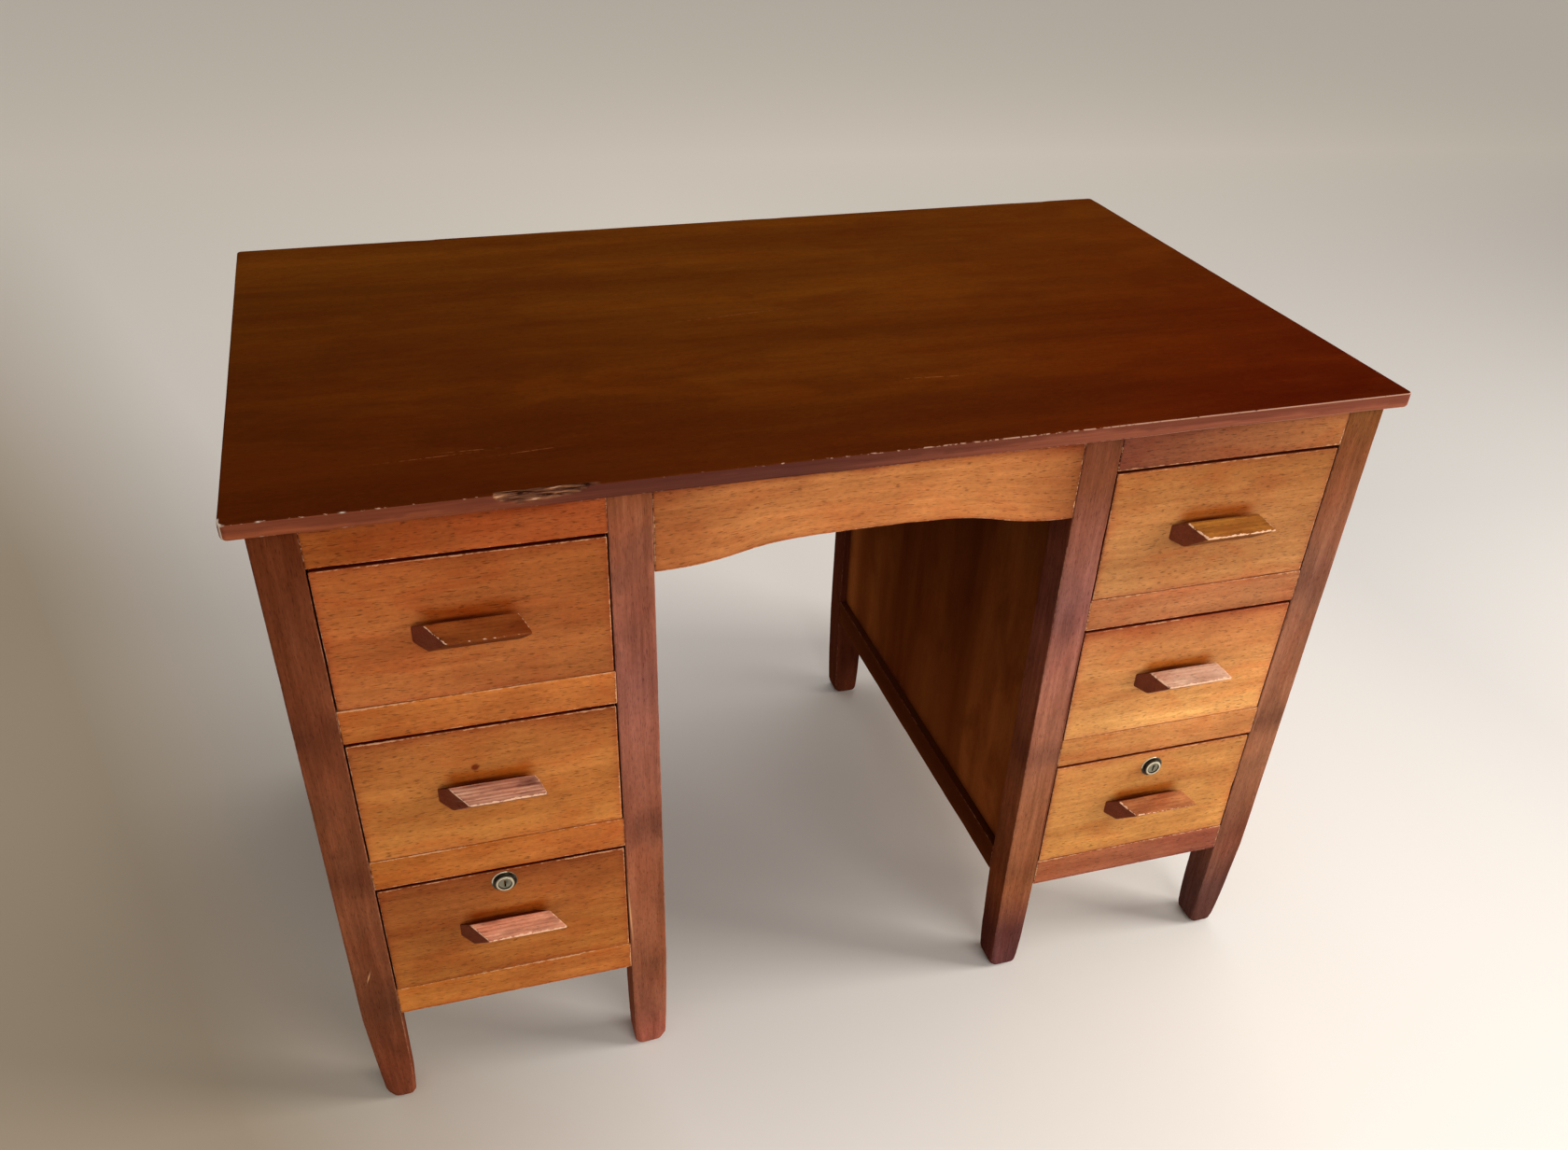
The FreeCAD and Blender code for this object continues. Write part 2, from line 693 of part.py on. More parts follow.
def handle(name, middle):
    """A handle cut from a faceted bar by two parallel mitres."""
    body = new_body(f"{name}_handle", (plus(middle[0], of("handle_offset")), middle[1], middle[2]))
    out = of("handle_out")
    nose_low = less(of("handle_nose_up"), of("handle_nose_blunt"))
    profile = [
        ("0", of("handle_back_up")),
        (negative(of("handle_crest_out")), of("handle_crest_up")),
        (negative(out), of("handle_nose_up")),
        (negative(out), nose_low),
        (negative(of("handle_keel_out")), negative(of("handle_keel_down"))),
        ("0", negative(of("handle_back_down"))),
    ]
    sketch = outline(body, body.Name + "_profile", "YZ_Plane", profile)
    bar = pad(body, body.Name + "_bar", sketch, plus(of("handle_long"), out))
    bar.Midplane = True
    reach = half(plus(of("handle_long"), out))
    beyond = plus(reach, OVER)
    clear = negative(plus(out, OVER))
    mitres = {
        "left": [(negative(beyond), OVER), (negative(beyond), clear), (less(plus(out, OVER), reach), clear)],
        "right": [(less(reach, out, OVER), OVER), (beyond, OVER), (beyond, clear)],
    }
    for end, corners in mitres.items():
        cut = body.newObject("PartDesign::Pocket", f"{body.Name}_{end}_mitre")
        cut.Profile = outline(body, f"{body.Name}_{end}_wedge", "XY_Plane", corners)
        cut.Type = "ThroughAll"
        cut.Midplane = True
    return body


# Locks: a case with a barrel through the front, a plug that turns and a bolt that it lifts
def lock(side, sign, face, drop):
    """One lock, set in a bottom drawer's front."""
    across = plus(mirrored(sign, BAY, of("opening_width")), half(of("opening_width")))
    up = less(plus(FLOORS[2], of("opening_tall")), drop)
    fit = of("lock_fit")
    inside = plus(FRONT, of("front_thick"))
    barrel = of("barrel_radius")
    tip = less(FRONT, of("barrel_proud"))
    cylinder(face, "barrel_hole", "Subtractive", (across, less(FRONT, OVER), up), (0, 1, 0),
             plus(barrel, fit), plus(of("front_thick"), f"2 * {OVER}"))
    cylinder(face, "ring_seat", "Subtractive", (across, less(FRONT, OVER), up), (0, 1, 0),
             plus(of("ring_radius"), fit), plus(OVER, of("ring_deep")))
    wall = of("case_wall")
    play = of("bolt_fit")
    cavity = plus(of("bolt_thick"), f"2 * {play}")
    case_deep = plus(cavity, f"2 * {wall}")
    case_low = less(up, of("case_low"))
    case_top = less(plus(FLOORS[2], of("opening_tall")), of("front_top_gap"), of("ring_deep"))
    x_case = less(across, half(of("case_wide")))
    case_tall = less(case_top, case_low)
    case = board(f"{side}_lock_case", (x_case, inside, case_low), (of("case_wide"), case_deep, case_tall))
    slot_wide = plus(of("bolt_wide"), f"2 * {play}")
    cylinder(case, "barrel", "Additive", (across, tip, up), (0, 1, 0), barrel, less(plus(inside, wall), tip))
    soften(case, "barrel_rim", of("barrel_rim"), lambda edge: at(edge, "Y", less(tip, inside)))
    ring_low = less(FRONT, of("ring_proud"))
    cylinder(case, "ring", "Additive", (across, ring_low, up), (0, 1, 0), of("ring_radius"),
             plus(of("ring_proud"), of("ring_deep")))
    over_barrel = number(plus(barrel, of("ring_radius")))
    soften(case, "ring_rim", of("ring_rim"),
           lambda edge: at(edge, "Y", less(ring_low, inside)) and edge.XLength > over_barrel)
    cut_low = (less(across, half(slot_wide)), plus(inside, wall), less(case_low, OVER))
    box(case, "bolt_way", "Subtractive", cut_low, (slot_wide, cavity, plus(case_tall, f"2 * {OVER}")))
    bore = plus(of("plug_radius"), of("plug_fit"))
    cylinder(case, "plug_bore", "Subtractive", (across, less(tip, OVER), up), (0, 1, 0), bore,
             less(plus(inside, wall, OVER), tip))
    plug_start = plus(tip, of("plug_sink"))
    plug_end = plus(inside, wall)
    plug = new_body(f"{side}_lock_plug", (across, plug_start, up))
    plug_long = less(plug_end, plug_start)
    cylinder(plug, "plug", "Additive", (across, plug_start, up), (0, 1, 0), of("plug_radius"), plug_long)
    slit = (of("keyway_wide"), plus(of("keyway_deep"), OVER), of("keyway_long"))
    slit_low = (less(across, half(slit[0])), less(plug_start, OVER), less(up, half(slit[2])))
    box(plug, "keyway", "Subtractive", slit_low, slit)
    throw = f"{of('pin_throw')} * cos(45)"
    pin_start = (less(across, throw), less(plug_end, OVER), less(up, throw))
    pin_long = less(plus(OVER, cavity), play)
    cylinder(plug, "pin", "Additive", pin_start, (0, 1, 0), of("pin_radius"), pin_long)
    bolt_top = less(plus(FLOORS[2], of("opening_tall")), of("front_top_gap"))
    bolt_low = less(up, of("bolt_low"))
    x_bolt = less(across, half(of("bolt_wide")))
    y_bolt = plus(inside, wall, play)
    bolt_span = (of("bolt_wide"), of("bolt_thick"), less(bolt_top, bolt_low))
    bolt = board(f"{side}_lock_bolt", (x_bolt, y_bolt, bolt_low), bolt_span)
    slot = plus(of("pin_radius"), of("pin_play"))
    slot_low = (less(across, of("pin_throw"), slot), less(y_bolt, OVER), less(less(up, throw), slot))
    slot_long = less(plus(of("pin_throw"), f"2 * {slot}"), throw)
    slot_through = plus(of("bolt_thick"), f"2 * {OVER}")
    box(bolt, "pin_slot", "Subtractive", slot_low, (slot_long, slot_through, f"2 * {slot}"))
    return [case, plug, bolt]


for side, sign in SIDES.items():
    for rank, level in enumerate(FLOORS, 1):
        face, pieces = drawer(side, sign, rank, level)
        nodes += pieces
    nodes += lock(side, sign, face, of(f"lock_drop_{side}"))


# Rebuild, look every object over, and write each piece to its file
doc.recompute()
for thing in doc.Objects:
    if "Invalid" in thing.State or "Error" in thing.State:
        raise RuntimeError(f"{thing.Label} failed: {thing.State}")
for node in nodes:
    shape = node.Shape
    if shape.isNull() or not shape.isValid():
        raise RuntimeError(f"{node.Label} has no sound shape")
    shape.exportStep(f"parts/{node.Label}.step")
print(len(nodes), "pieces written")
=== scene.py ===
# %% [markdown]
# # A worn pedestal desk, dressed around its CAD frame
# The packed CAD model fixes every size, place and joint of this desk. This file gives each visible piece its
# worn wood or metal and sets up the camera and the light. Each cell makes one piece or one finish.

# %% Load the packed frame
import math

import bpy
import numpy as np
from mathutils import Matrix, Vector


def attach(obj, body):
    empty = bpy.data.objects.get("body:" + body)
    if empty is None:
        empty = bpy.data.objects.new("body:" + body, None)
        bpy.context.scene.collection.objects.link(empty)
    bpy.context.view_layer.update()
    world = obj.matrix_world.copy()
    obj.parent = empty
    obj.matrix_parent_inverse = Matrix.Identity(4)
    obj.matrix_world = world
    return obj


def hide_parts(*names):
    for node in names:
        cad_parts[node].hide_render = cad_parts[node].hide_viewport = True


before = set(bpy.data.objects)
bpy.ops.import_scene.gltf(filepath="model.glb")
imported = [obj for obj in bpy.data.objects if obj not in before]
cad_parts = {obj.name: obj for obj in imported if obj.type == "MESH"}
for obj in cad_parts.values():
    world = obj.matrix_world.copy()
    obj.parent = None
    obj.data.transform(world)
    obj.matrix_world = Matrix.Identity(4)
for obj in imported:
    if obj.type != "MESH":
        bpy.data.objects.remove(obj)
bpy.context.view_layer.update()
MM = 0.001

# %% [markdown]
# ## The camera
# A camera is a place, three turns and a lens. These numbers come from fitting a pinhole camera to the desk's
# own edges in the photograph, which is why they aren't round. The shift keeps the fitted middle of the lens.

# %% Camera
EYE = Vector((-0.4226, -1.3369, 1.2911))
YAW, PITCH, ROLL = (math.radians(angle) for angle in (-17.934, -36.804, 1.983))
LENS = {"sensor_width": 36, "lens": 29.94, "shift_x": 0.00714, "shift_y": 0.0815}
camera_data = bpy.data.cameras.new("camera")
for setting, value in LENS.items():
    setattr(camera_data, setting, value)
camera = bpy.data.objects.new("camera", camera_data)
bpy.context.scene.collection.objects.link(camera)
turn = Matrix.Rotation(YAW, 4, "Z") @ Matrix.Rotation(math.pi / 2 + PITCH, 4, "X")
turn = turn @ Matrix.Rotation(ROLL, 4, "Z")
camera.matrix_world = Matrix.Translation(EYE) @ turn
bpy.context.scene.camera = camera
bpy.context.scene.view_settings.view_transform = "Standard"
print("camera at", tuple(EYE), "with a lens of", camera_data.lens, "mm")

# %% [markdown]
# ## Shader maths as plain expressions
# A material is a tree of nodes. Written link by link it is hard to read, so one small class wraps a socket
# and turns `a * 2 + b` into Math nodes. Its `node` method adds any other node: its type, then its settings,
# then the values or links of its sockets. The shorter methods name the few nodes that every wood needs.


# %% Socket wrapper
class Wire:
    """One output socket of a material's tree that can be used in sums."""

    def __init__(self, tree, socket=None):
        self.tree = tree
        self.socket = socket

    def node(self, kind, settings=None, sockets=None, output=0):
        """Adds a node of a type, sets it up, fills its sockets and gives one of its outputs."""
        made = self.tree.nodes.new(kind)
        for key, value in (settings or {}).items():
            if key == "stops":
                for index, (position, colour) in enumerate(value):
                    elements = made.color_ramp.elements
                    stop = elements[index] if index < len(elements) else elements.new(position)
                    stop.position = position
                    stop.color = (*colour, 1)
            else:
                setattr(made, key, value)
        for key, value in (sockets or {}).items():
            if isinstance(value, Wire):
                self.tree.links.new(value.socket, made.inputs[key])
            else:
                made.inputs[key].default_value = value
        return Wire(self.tree, made.outputs[output] if made.outputs else None)

    def maths(self, operation, *values, clamp=False):
        """A Math node over wires and numbers."""
        settings = {"operation": operation, "use_clamp": clamp}
        return self.node("ShaderNodeMath", settings, dict(enumerate(values)))

    def through(self, operation):
        """This wire through a Math node that takes one number."""
        return self.maths(operation, self)

    def __add__(self, other):
        return self.maths("ADD", self, other)

    def __radd__(self, other):
        return self.maths("ADD", other, self)

    def __sub__(self, other):
        return self.maths("SUBTRACT", self, other)

    def __rsub__(self, other):
        return self.maths("SUBTRACT", other, self)

    def __mul__(self, other):
        return self.maths("MULTIPLY", self, other)

    def __rmul__(self, other):
        return self.maths("MULTIPLY", other, self)

    def __truediv__(self, other):
        return self.maths("DIVIDE", self, other)

    def above(self, level, steepness):
        """0 below a level, rising to 1 above it."""
        return self.maths("MULTIPLY", self - level, steepness, clamp=True)

    def bell(self, centre, width):
        """1 at a centre, falling off to 0 about two widths away."""
        offset = (self - centre) / width
        return self.maths("POWER", math.e, offset * offset * -1)

    def mix(self, first, second):
        """A colour between two others, by this wire."""
        sockets = {0: self, 6: colour_of(first), 7: colour_of(second)}
        return self.node("ShaderNodeMix", {"data_type": "RGBA"}, sockets, 2)

    def times(self, colour):
        """This colour multiplied by another."""
        settings = {"data_type": "RGBA", "blend_type": "MULTIPLY"}
        return self.node("ShaderNodeMix", settings, {0: 1.0, 6: self, 7: colour_of(colour)}, 2)

    def scaled(self, *factors):
        """This vector with each coordinate multiplied."""
        return self.node("ShaderNodeVectorMath", {"operation": "MULTIPLY"}, {0: self, 1: factors})

    def axes(self):
        """The three coordinates of this vector."""
        parts = self.node("ShaderNodeSeparateXYZ", None, {0: self}).socket.node
        return [Wire(self.tree, socket) for socket in parts.outputs]

    def noise(self, detail, rough, distortion=0.0):
        """Cloudy noise, mostly from 0.3 to 0.7, over this place."""
        return self.node("ShaderNodeTexNoise", None, {
            "Vector": self, "Scale": 1.0, "Detail": detail, "Roughness": rough, "Distortion": distortion})

    def ramp(self, stops):
        """A colour from a row of stops, by this wire."""
        return self.node("ShaderNodeValToRGB", {"stops": stops}, {0: self})

    def grey(self):
        """A colour with this wire in each channel."""
        return self.node("ShaderNodeCombineColor", None, {0: self, 1: self, 2: self})

    def place(self):
        """The place on the desk, from Object coordinates."""
        return self.node("ShaderNodeTexCoord", None, None, 3)

    def field(self, name, output=1):
        """An attribute of the piece's points: a vector, or with output 2 a number."""
        return self.node("ShaderNodeAttribute", {"attribute_name": name}, None, output)


print("the wrapper has", sum(1 for name in vars(Wire) if not name.startswith("__")), "named methods")


# %% Material helpers
def colour_of(value):
    """A colour for a socket: a wire as it is, or three numbers with full opacity."""
    return value if isinstance(value, Wire) else (*value, 1)


def new_material(name):
    """A material with an empty tree, and the tree's first wire."""
    material = bpy.data.materials.new(name)
    material.use_nodes = True
    material.node_tree.nodes.clear()
    return material, Wire(material.node_tree)


def surface(root, sockets):
    """Adds the surface shader with these sockets, and the material's output."""
    shader = root.node("ShaderNodeBsdfPrincipled", None, sockets)
    root.node("ShaderNodeOutputMaterial", None, {"Surface": shader})


print("material helpers ready")

# %% [markdown]
# ## Floor, background and light
# The desk stands on a pale floor under one large soft light from the right, a broad one from the front
# and a weak one overhead; the desk's shadow to its left is painted onto the floor. The background that the
# camera and reflections see is set apart from the light that falls on the desk, so a paler background never
# lights the wood.

# %% Floor and world
FLOOR_REACH = 14
floor_mesh = bpy.data.meshes.new("floor")
corners = [(x * FLOOR_REACH, y * FLOOR_REACH, 0) for x, y in ((-1, -1), (1, -1), (1, 1), (-1, 1))]
floor_mesh.from_pydata(corners, [], [(0, 1, 2, 3)])
floor = bpy.data.objects.new("floor", floor_mesh)
bpy.context.scene.collection.objects.link(floor)
floor_paint, root = new_material("pale_floor")
x_floor, y_floor, _ = root.place().axes()
farther = (y_floor + x_floor * 0.15).above(0.9, 0.35)
floor_colour = farther.mix((0.74, 0.70, 0.655), (1.0, 0.92, 0.81))
# Painted shadow: the floor to the left of the desk is painted a darker brown, as the desk's shadow.
painted_desk_shadow = (-0.35 - x_floor - y_floor * 0.3).above(0, 2.2) * (y_floor + 0.9).above(0, 2)
floor_colour = (painted_desk_shadow * (1 - farther) * 0.75).mix(floor_colour, (0.32, 0.225, 0.115))
rightward = (x_floor - 0.5).above(0, 1.2) * (1 - farther) * 0.65
floor_colour = rightward.mix(floor_colour, (0.40, 0.39, 0.38))
surface(root, {"Base Color": floor_colour, "Roughness": 0.75, "Specular IOR Level": 0.2})
floor_mesh.materials.append(floor_paint)

world = bpy.data.worlds.new("world")
bpy.context.scene.world = world
world.use_nodes = True
world.node_tree.nodes.clear()
root = Wire(world.node_tree)
AMBIENT = 0.4
path = root.node("ShaderNodeLightPath").socket.node
seen = [Wire(root.tree, path.outputs[f"Is {ray} Ray"]) for ray in ("Camera", "Glossy", "Transmission")]
shows = root.maths("MAXIMUM", seen[0], root.maths("MAXIMUM", seen[1], seen[2]))
light = root.node("ShaderNodeBackground", None, {"Color": (1.0, 0.97, 0.94, 1), "Strength": AMBIENT})
pale = root.node("ShaderNodeBackground", None, {"Color": (0.62, 0.57, 0.52, 1), "Strength": 1.0})
both = root.node("ShaderNodeMixShader", None, {0: shows, 1: light, 2: pale})
root.node("ShaderNodeOutputWorld", None, {"Surface": both})
print("floor of", 2 * FLOOR_REACH, "m and a world of strength", AMBIENT)


# %% Lamps
def soft_lamp(name, place, target, size, power, tint):
    """A square area lamp that faces a point."""
    data = bpy.data.lights.new(name, "AREA")
    data.size = size
    data.energy = power
    data.color = tint
    lamp = bpy.data.objects.new(name, data)
    bpy.context.scene.collection.objects.link(lamp)
    aim = (Vector(target) - Vector(place)).to_track_quat("-Z", "Y")
    lamp.matrix_world = Matrix.Translation(place) @ aim.to_matrix().to_4x4()


soft_lamp("key", (3.0, -1.2, 1.35), (0.0, -0.2, 0.3), 1.3, 105, (1.0, 0.965, 0.92))
soft_lamp("front", (0.6, -3.3, 1.8), (0.1, 0.0, 0.4), 2.2, 58, (1.0, 0.97, 0.94))
soft_lamp("overhead", (0.9, 0.6, 3.2), (0.1, 0.2, 0.0), 2.4, 34, (1.0, 0.98, 0.96))
print("three lamps")

# %% [markdown]
# ## The wood finish
# Real boards show a slow figure, fine streaks, short dark pores, stains, and bare pale wood where arrises
# have rubbed. All of these are noise, stretched along the grain. Each board carries three attributes for it:
# `grain` is the place with the distance along the board first, `edge` is the distance to the nearest arris,
# and `tint` is the board's own colour. That keeps the pattern on the board when a drawer slides.


# %% Wood material
def wood(name, look, board=True, order=(0, 1, 2), detail=None):
    """A worn varnished wood; a board brings its own attributes, other pieces use their place in the desk."""
    material, root = new_material(name)
    if board:
        grain, tint, edge = root.field("grain"), root.field("tint"), root.field("edge", 2)
    else:
        parts = root.place().axes()
        chosen = {index: parts[axis] for index, axis in enumerate(order)}
        grain = root.node("ShaderNodeCombineXYZ", None, chosen)
        edge = None
    figure = grain.scaled(*look["figure"]).noise(3, 0.5, 0.3)
    streak = grain.scaled(8, 150, 150).noise(3, 0.6, 0.3)
    fibre = grain.scaled(30, 900, 900).noise(2, 0.6)
    flecks = grain.scaled(125, 800, 800).noise(1.5, 0.5)
    blush = grain.scaled(12, 27, 27).noise(3, 0.6, 0.8)
    clouds = grain.scaled(8, 17, 17).noise(4, 0.6, 0.4)
    speckle = grain.scaled(200, 350, 350).noise(2, 0.6)
    bands = figure * (1 - look["streaks"]) + streak * look["streaks"]
    colour = bands.ramp([(0.36, look["dark"]), (0.5, look["main"]), (0.64, look["light"])])
    stain = clouds.above(look["stain_from"], 6) * look["stain"]
    colour = stain.mix(colour, look["stained"])
    colour = (blush.above(0.47, 5) * look["blush"]).mix(colour, colour.times((0.92, 0.66, 0.6)))
    pores = flecks.above(look["pores_from"], 9) * look["pores"]
    shade = (1 - pores) * (0.86 + fibre * 0.28) * (0.8 + speckle * 0.4)
    colour = colour.times(shade.grey())
    rough = look["rough"] + (clouds - 0.5) * 0.3 + pores * 0.2
    if board:
        colour = colour.times(tint)
        reach = look["wear_reach"]
        worn_to = look["bare_line"] + (clouds - 0.42) * reach + (speckle - 0.45) * (reach * 0.9)
        worn = (worn_to - edge).above(0, 2000) * look["wear"]
        colour = worn.mix(colour, look["bare"])
        rough = rough + worn * 0.15
    if detail:
        colour = detail((grain, edge, clouds, speckle), colour)
    height = fibre * 0.35 + streak * 0.5 - pores * 0.9 + speckle * 0.2
    relief = {"Strength": look["relief"], "Distance": 0.0005, "Height": height}
    surface(root, {
        "Base Color": colour, "Roughness": rough, "Normal": root.node("ShaderNodeBump", None, relief),
        "Specular IOR Level": look["shine"], "Specular Tint": (*look["gloss"], 1),
    })
    return material


print("wood shader ready")

# %% [markdown]
# ## Marks of use and painted light
# Some marks belong to one place: the grime over a handle, a knot, a scratch, the torn splinter in the top.
# Others are painted light: contact shadow over a handle, shade in a gap, sheen and shade on the top.
# Each is a soft bump in one coordinate times a soft bump in another, and mixes in its own colour. A board's
# `grain` is shifted by its own number, so a mark that names the number shows on that board alone.

# %% Marks on the fronts
# Every board below has a number, and these shifts times that number move its grain. The knot is on board 32,
# the second left front.
ACROSS_SHIFT, THROUGH_SHIFT = 3.7, 1.3
KNOTTED = 32
KNOT = (-0.3966, 0.4733 + THROUGH_SHIFT * KNOTTED)


def handle_grime_and_shadow(finish, colour):
    """Hands' smear above a handle, painted contact shadow and grime along its upper edge, and one knot."""
    grain, _, clouds, speckle = finish
    across, on_face, up = grain.field("spot").axes()
    wavy_up = up + (clouds - 0.5) * 0.03
    band = (0.047 - (across + 0.004).through("ABSOLUTE")).above(0, 80) * (0.025 - wavy_up).above(0, 120)
    smear = band * (up - 0.004).above(0, 400) * on_face * (0.35 + clouds)
    colour = smear.mix(colour, colour.times((0.70, 0.35, 0.06)))
    along, _, tall = grain.axes()
    knot = (along + (speckle - 0.5) * 0.003).bell(KNOT[0], 0.0040) * tall.bell(KNOT[1], 0.0036)
    colour = (knot.above(0.2, 2.5) * 0.9).mix(colour, (0.12, 0.014, 0.004))
    # Painted contact shadow and grime: a dark line just above the handle, where it meets the front.
    contact_shadow_and_grime = (across + 0.016).bell(0, 0.036) * up.bell(0.0086, 0.0027) * on_face * 0.92
    return contact_shadow_and_grime.mix(colour, (0.06, 0.006, 0.002))


print("knot at", round(1000 * KNOT[0]), "mm from the middle of the desk")

# %% Marks on the posts
# PALE is bare wood; the dark red is painted shade of the gap between the right inner post and its drawers.
PALE, PAINTED_GAP_SHADE = (0.66, 0.34, 0.16), (0.045, 0.005, 0.004)
# Each mark: the post's number, its place across and up the post, its slope, its reach, its width, its colour.
POST_MARKS = [
    (3, -0.2524, 0.232, -0.034, 0.036, 0.0010, PALE), (1, -0.5366, 0.2118, 0.345, 0.006, 0.0006, PALE),
    (7, 0.2524, 0.262, 0, 0.07, 0.0012, PAINTED_GAP_SHADE), (7, 0.2524, 0.450, 0, 0.07, 0.0012, PAINTED_GAP_SHADE),
]


def post_marks(finish, colour):
    """A sliver and a scratch on the left posts, and painted shade of the gap beside the right drawers."""
    grain, *_ = finish
    up, across, _ = grain.axes()
    for number, x, z, slope, reach, wide, tint in POST_MARKS:
        off_line = across - ACROSS_SHIFT * number - x - (up - z) * slope
        line = off_line.bell(0, wide) * up.bell(z, reach) * 0.85
        colour = line.mix(colour, tint)
    return colour


print("marks on the posts:", len(POST_MARKS))

# %% Marks on the top
# Each scratch: its place, its reach along the grain and its slope.
SCRATCHES = [
    (-0.395, -0.255, 0.035, 0.05), (-0.36, -0.249, 0.02, -0.03), (-0.31, -0.262, 0.025, 0.08),
    (0.11, -0.19, 0.03, -0.1), (-0.05, 0.02, 0.05, 0.12),
]
RIM_COLOURS = [
    (0.0, (0.24, 0.064, 0.026)), (0.16, (0.19, 0.050, 0.022)), (0.26, (0.10, 0.028, 0.017)),
    (0.42, (0.085, 0.026, 0.018)), (0.62, (0.18, 0.053, 0.029)), (1.0, (0.24, 0.073, 0.040)),
]
SPLINTER_COLOURS = [
    (0.38, (0.022, 0.006, 0.003)), (0.46, (0.095, 0.034, 0.018)), (0.54, (0.17, 0.072, 0.036)),
    (0.61, (0.27, 0.115, 0.050)), (0.69, (0.52, 0.34, 0.22)),
]
TOP_SHIFT = 5


def top_marks(finish, colour):
    """A painted olive sheen towards the back, painted shade at the front left, a redder front right and rim,
    fine scratches, worn spots and the torn splinter.
    """
    grain, edge, clouds, speckle = finish
    along, depth, up = grain.axes()
    depth = depth - ACROSS_SHIFT * TOP_SHIFT
    # Painted sheen: olive towards the back and the middle, standing in for a reflection of the room.
    painted_sheen = (depth + (clouds - 0.5) * 0.5 + along.bell(0.02, 0.3) * 0.3 - along * 0.3).above(-0.33, 1.5)
    colour = (painted_sheen * 0.95).mix(colour, colour.times((1.34, 2.35, 1.9)))
    # Painted shade: the top is darker towards the front left.
    gloom = (-0.1 - depth - along * 0.7 + (clouds - 0.5) * 0.25).above(0, 2.0) * 0.32
    colour = gloom.mix(colour, (0.030, 0.0045, 0.0008))
    warm = (along * 0.8 - depth * 1.2 - 0.25 + (clouds - 0.5) * 0.3).above(0, 1.6)
    colour = warm.mix(colour, colour.times((0.93, 0.68, 0.74)))
    for x, y, reach, slope in SCRATCHES:
        off_line = depth - y - (along - x) * slope
        line = off_line.bell(0, 0.0006) * along.bell(x, reach) * speckle.above(0.42, 8) * 0.7
        colour = line.mix(colour, (0.27, 0.085, 0.026))
    rim = grain.field("rim", 2)
    place = (along + 0.57) / 1.14
    streaky = 0.55 + grain.scaled(14, 300, 500).noise(3, 0.6) * 0.9
    colour = rim.mix(colour, place.ramp(RIM_COLOURS).times(streaky.grey()))
    # Darker along the upper part of the front edge.
    dark_upper_band = (up - THROUGH_SHIFT * TOP_SHIFT + (clouds - 0.5) * 0.03).above(0.7615, 260) * rim * 0.45
    colour = dark_upper_band.mix(colour, (0.065, 0.016, 0.011))
    front = (-0.325 - depth).above(0, 400)
    rightward = place.above(0.42, 2.2)
    ragged = (clouds - 0.5) * 0.9 + (speckle - 0.5) * 2.2 + rightward * 0.8
    line = (0.0011 - edge).above(0, 2500) * ragged.above(0.3, 6) * front * 0.75
    colour = line.mix(colour, (0.46, 0.26, 0.175))
    corner = along.bell(-0.5685, 0.0025) * (0.0022 - edge).above(0, 1200) * front
    spots = (along.bell(-0.538, 0.0016) + along.bell(-0.473, 0.002)) * (0.0013 - edge).above(0, 2000) * front
    colour = (corner * 0.8 + spots * 0.55).mix(colour, (0.70, 0.58, 0.46))
    torn = grain.scaled(35, 60, 420).noise(4, 0.65, 0.6)
    return grain.field("chip", 2).mix(colour, torn.ramp(SPLINTER_COLOURS))


print("scratches on the top:", len(SCRATCHES))

# %% [markdown]
# ## Looks and materials
# A look is a table of colours and amounts for the wood shader. One orange wood is the start, and the others
# change what differs: redder posts, a dark top, shaded sides, bare wood inside, handles that are worn most.
# So a new kind of wear or a change to the grain reaches all of them at once.

# %% Looks
ORANGE = {
    "dark": (0.28, 0.096, 0.022), "main": (0.36, 0.130, 0.030), "light": (0.445, 0.168, 0.040),
    "stained": (0.25, 0.070, 0.015), "stain": 0.4, "stain_from": 0.48, "streaks": 0.4,
    "pores": 0.5, "pores_from": 0.583, "blush": 0.55, "figure": (1.6, 13, 13), "bare_line": 0.0,
    "bare": (0.62, 0.33, 0.17), "wear": 0.65, "wear_reach": 0.0045,
    "rough": 0.42, "relief": 0.5, "shine": 0.05, "gloss": (1.0, 0.5, 0.22),
}
RED_BROWN = {
    **ORANGE, "dark": (0.20, 0.070, 0.038), "main": (0.27, 0.098, 0.055), "light": (0.34, 0.130, 0.076),
    "stained": (0.15, 0.060, 0.038), "stain": 0.5, "stain_from": 0.47, "streaks": 0.6, "pores": 0.3,
    "blush": 0.3, "bare": (0.50, 0.24, 0.14), "wear": 0.4, "wear_reach": 0.003, "shine": 0.0,
}
DARK_TOP = {
    **ORANGE, "dark": (0.063, 0.009, 0.0013), "main": (0.079, 0.0118, 0.0015),
    "light": (0.097, 0.0150, 0.0017), "stained": (0.060, 0.0075, 0.0013), "stain": 0.6, "stain_from": 0.47,
    "streaks": 0.25, "pores": 0.2, "blush": 0.3, "wear": 0.0, "rough": 0.4, "relief": 0.25, "shine": 0.0,
    "gloss": (1.0, 0.35, 0.08),
}
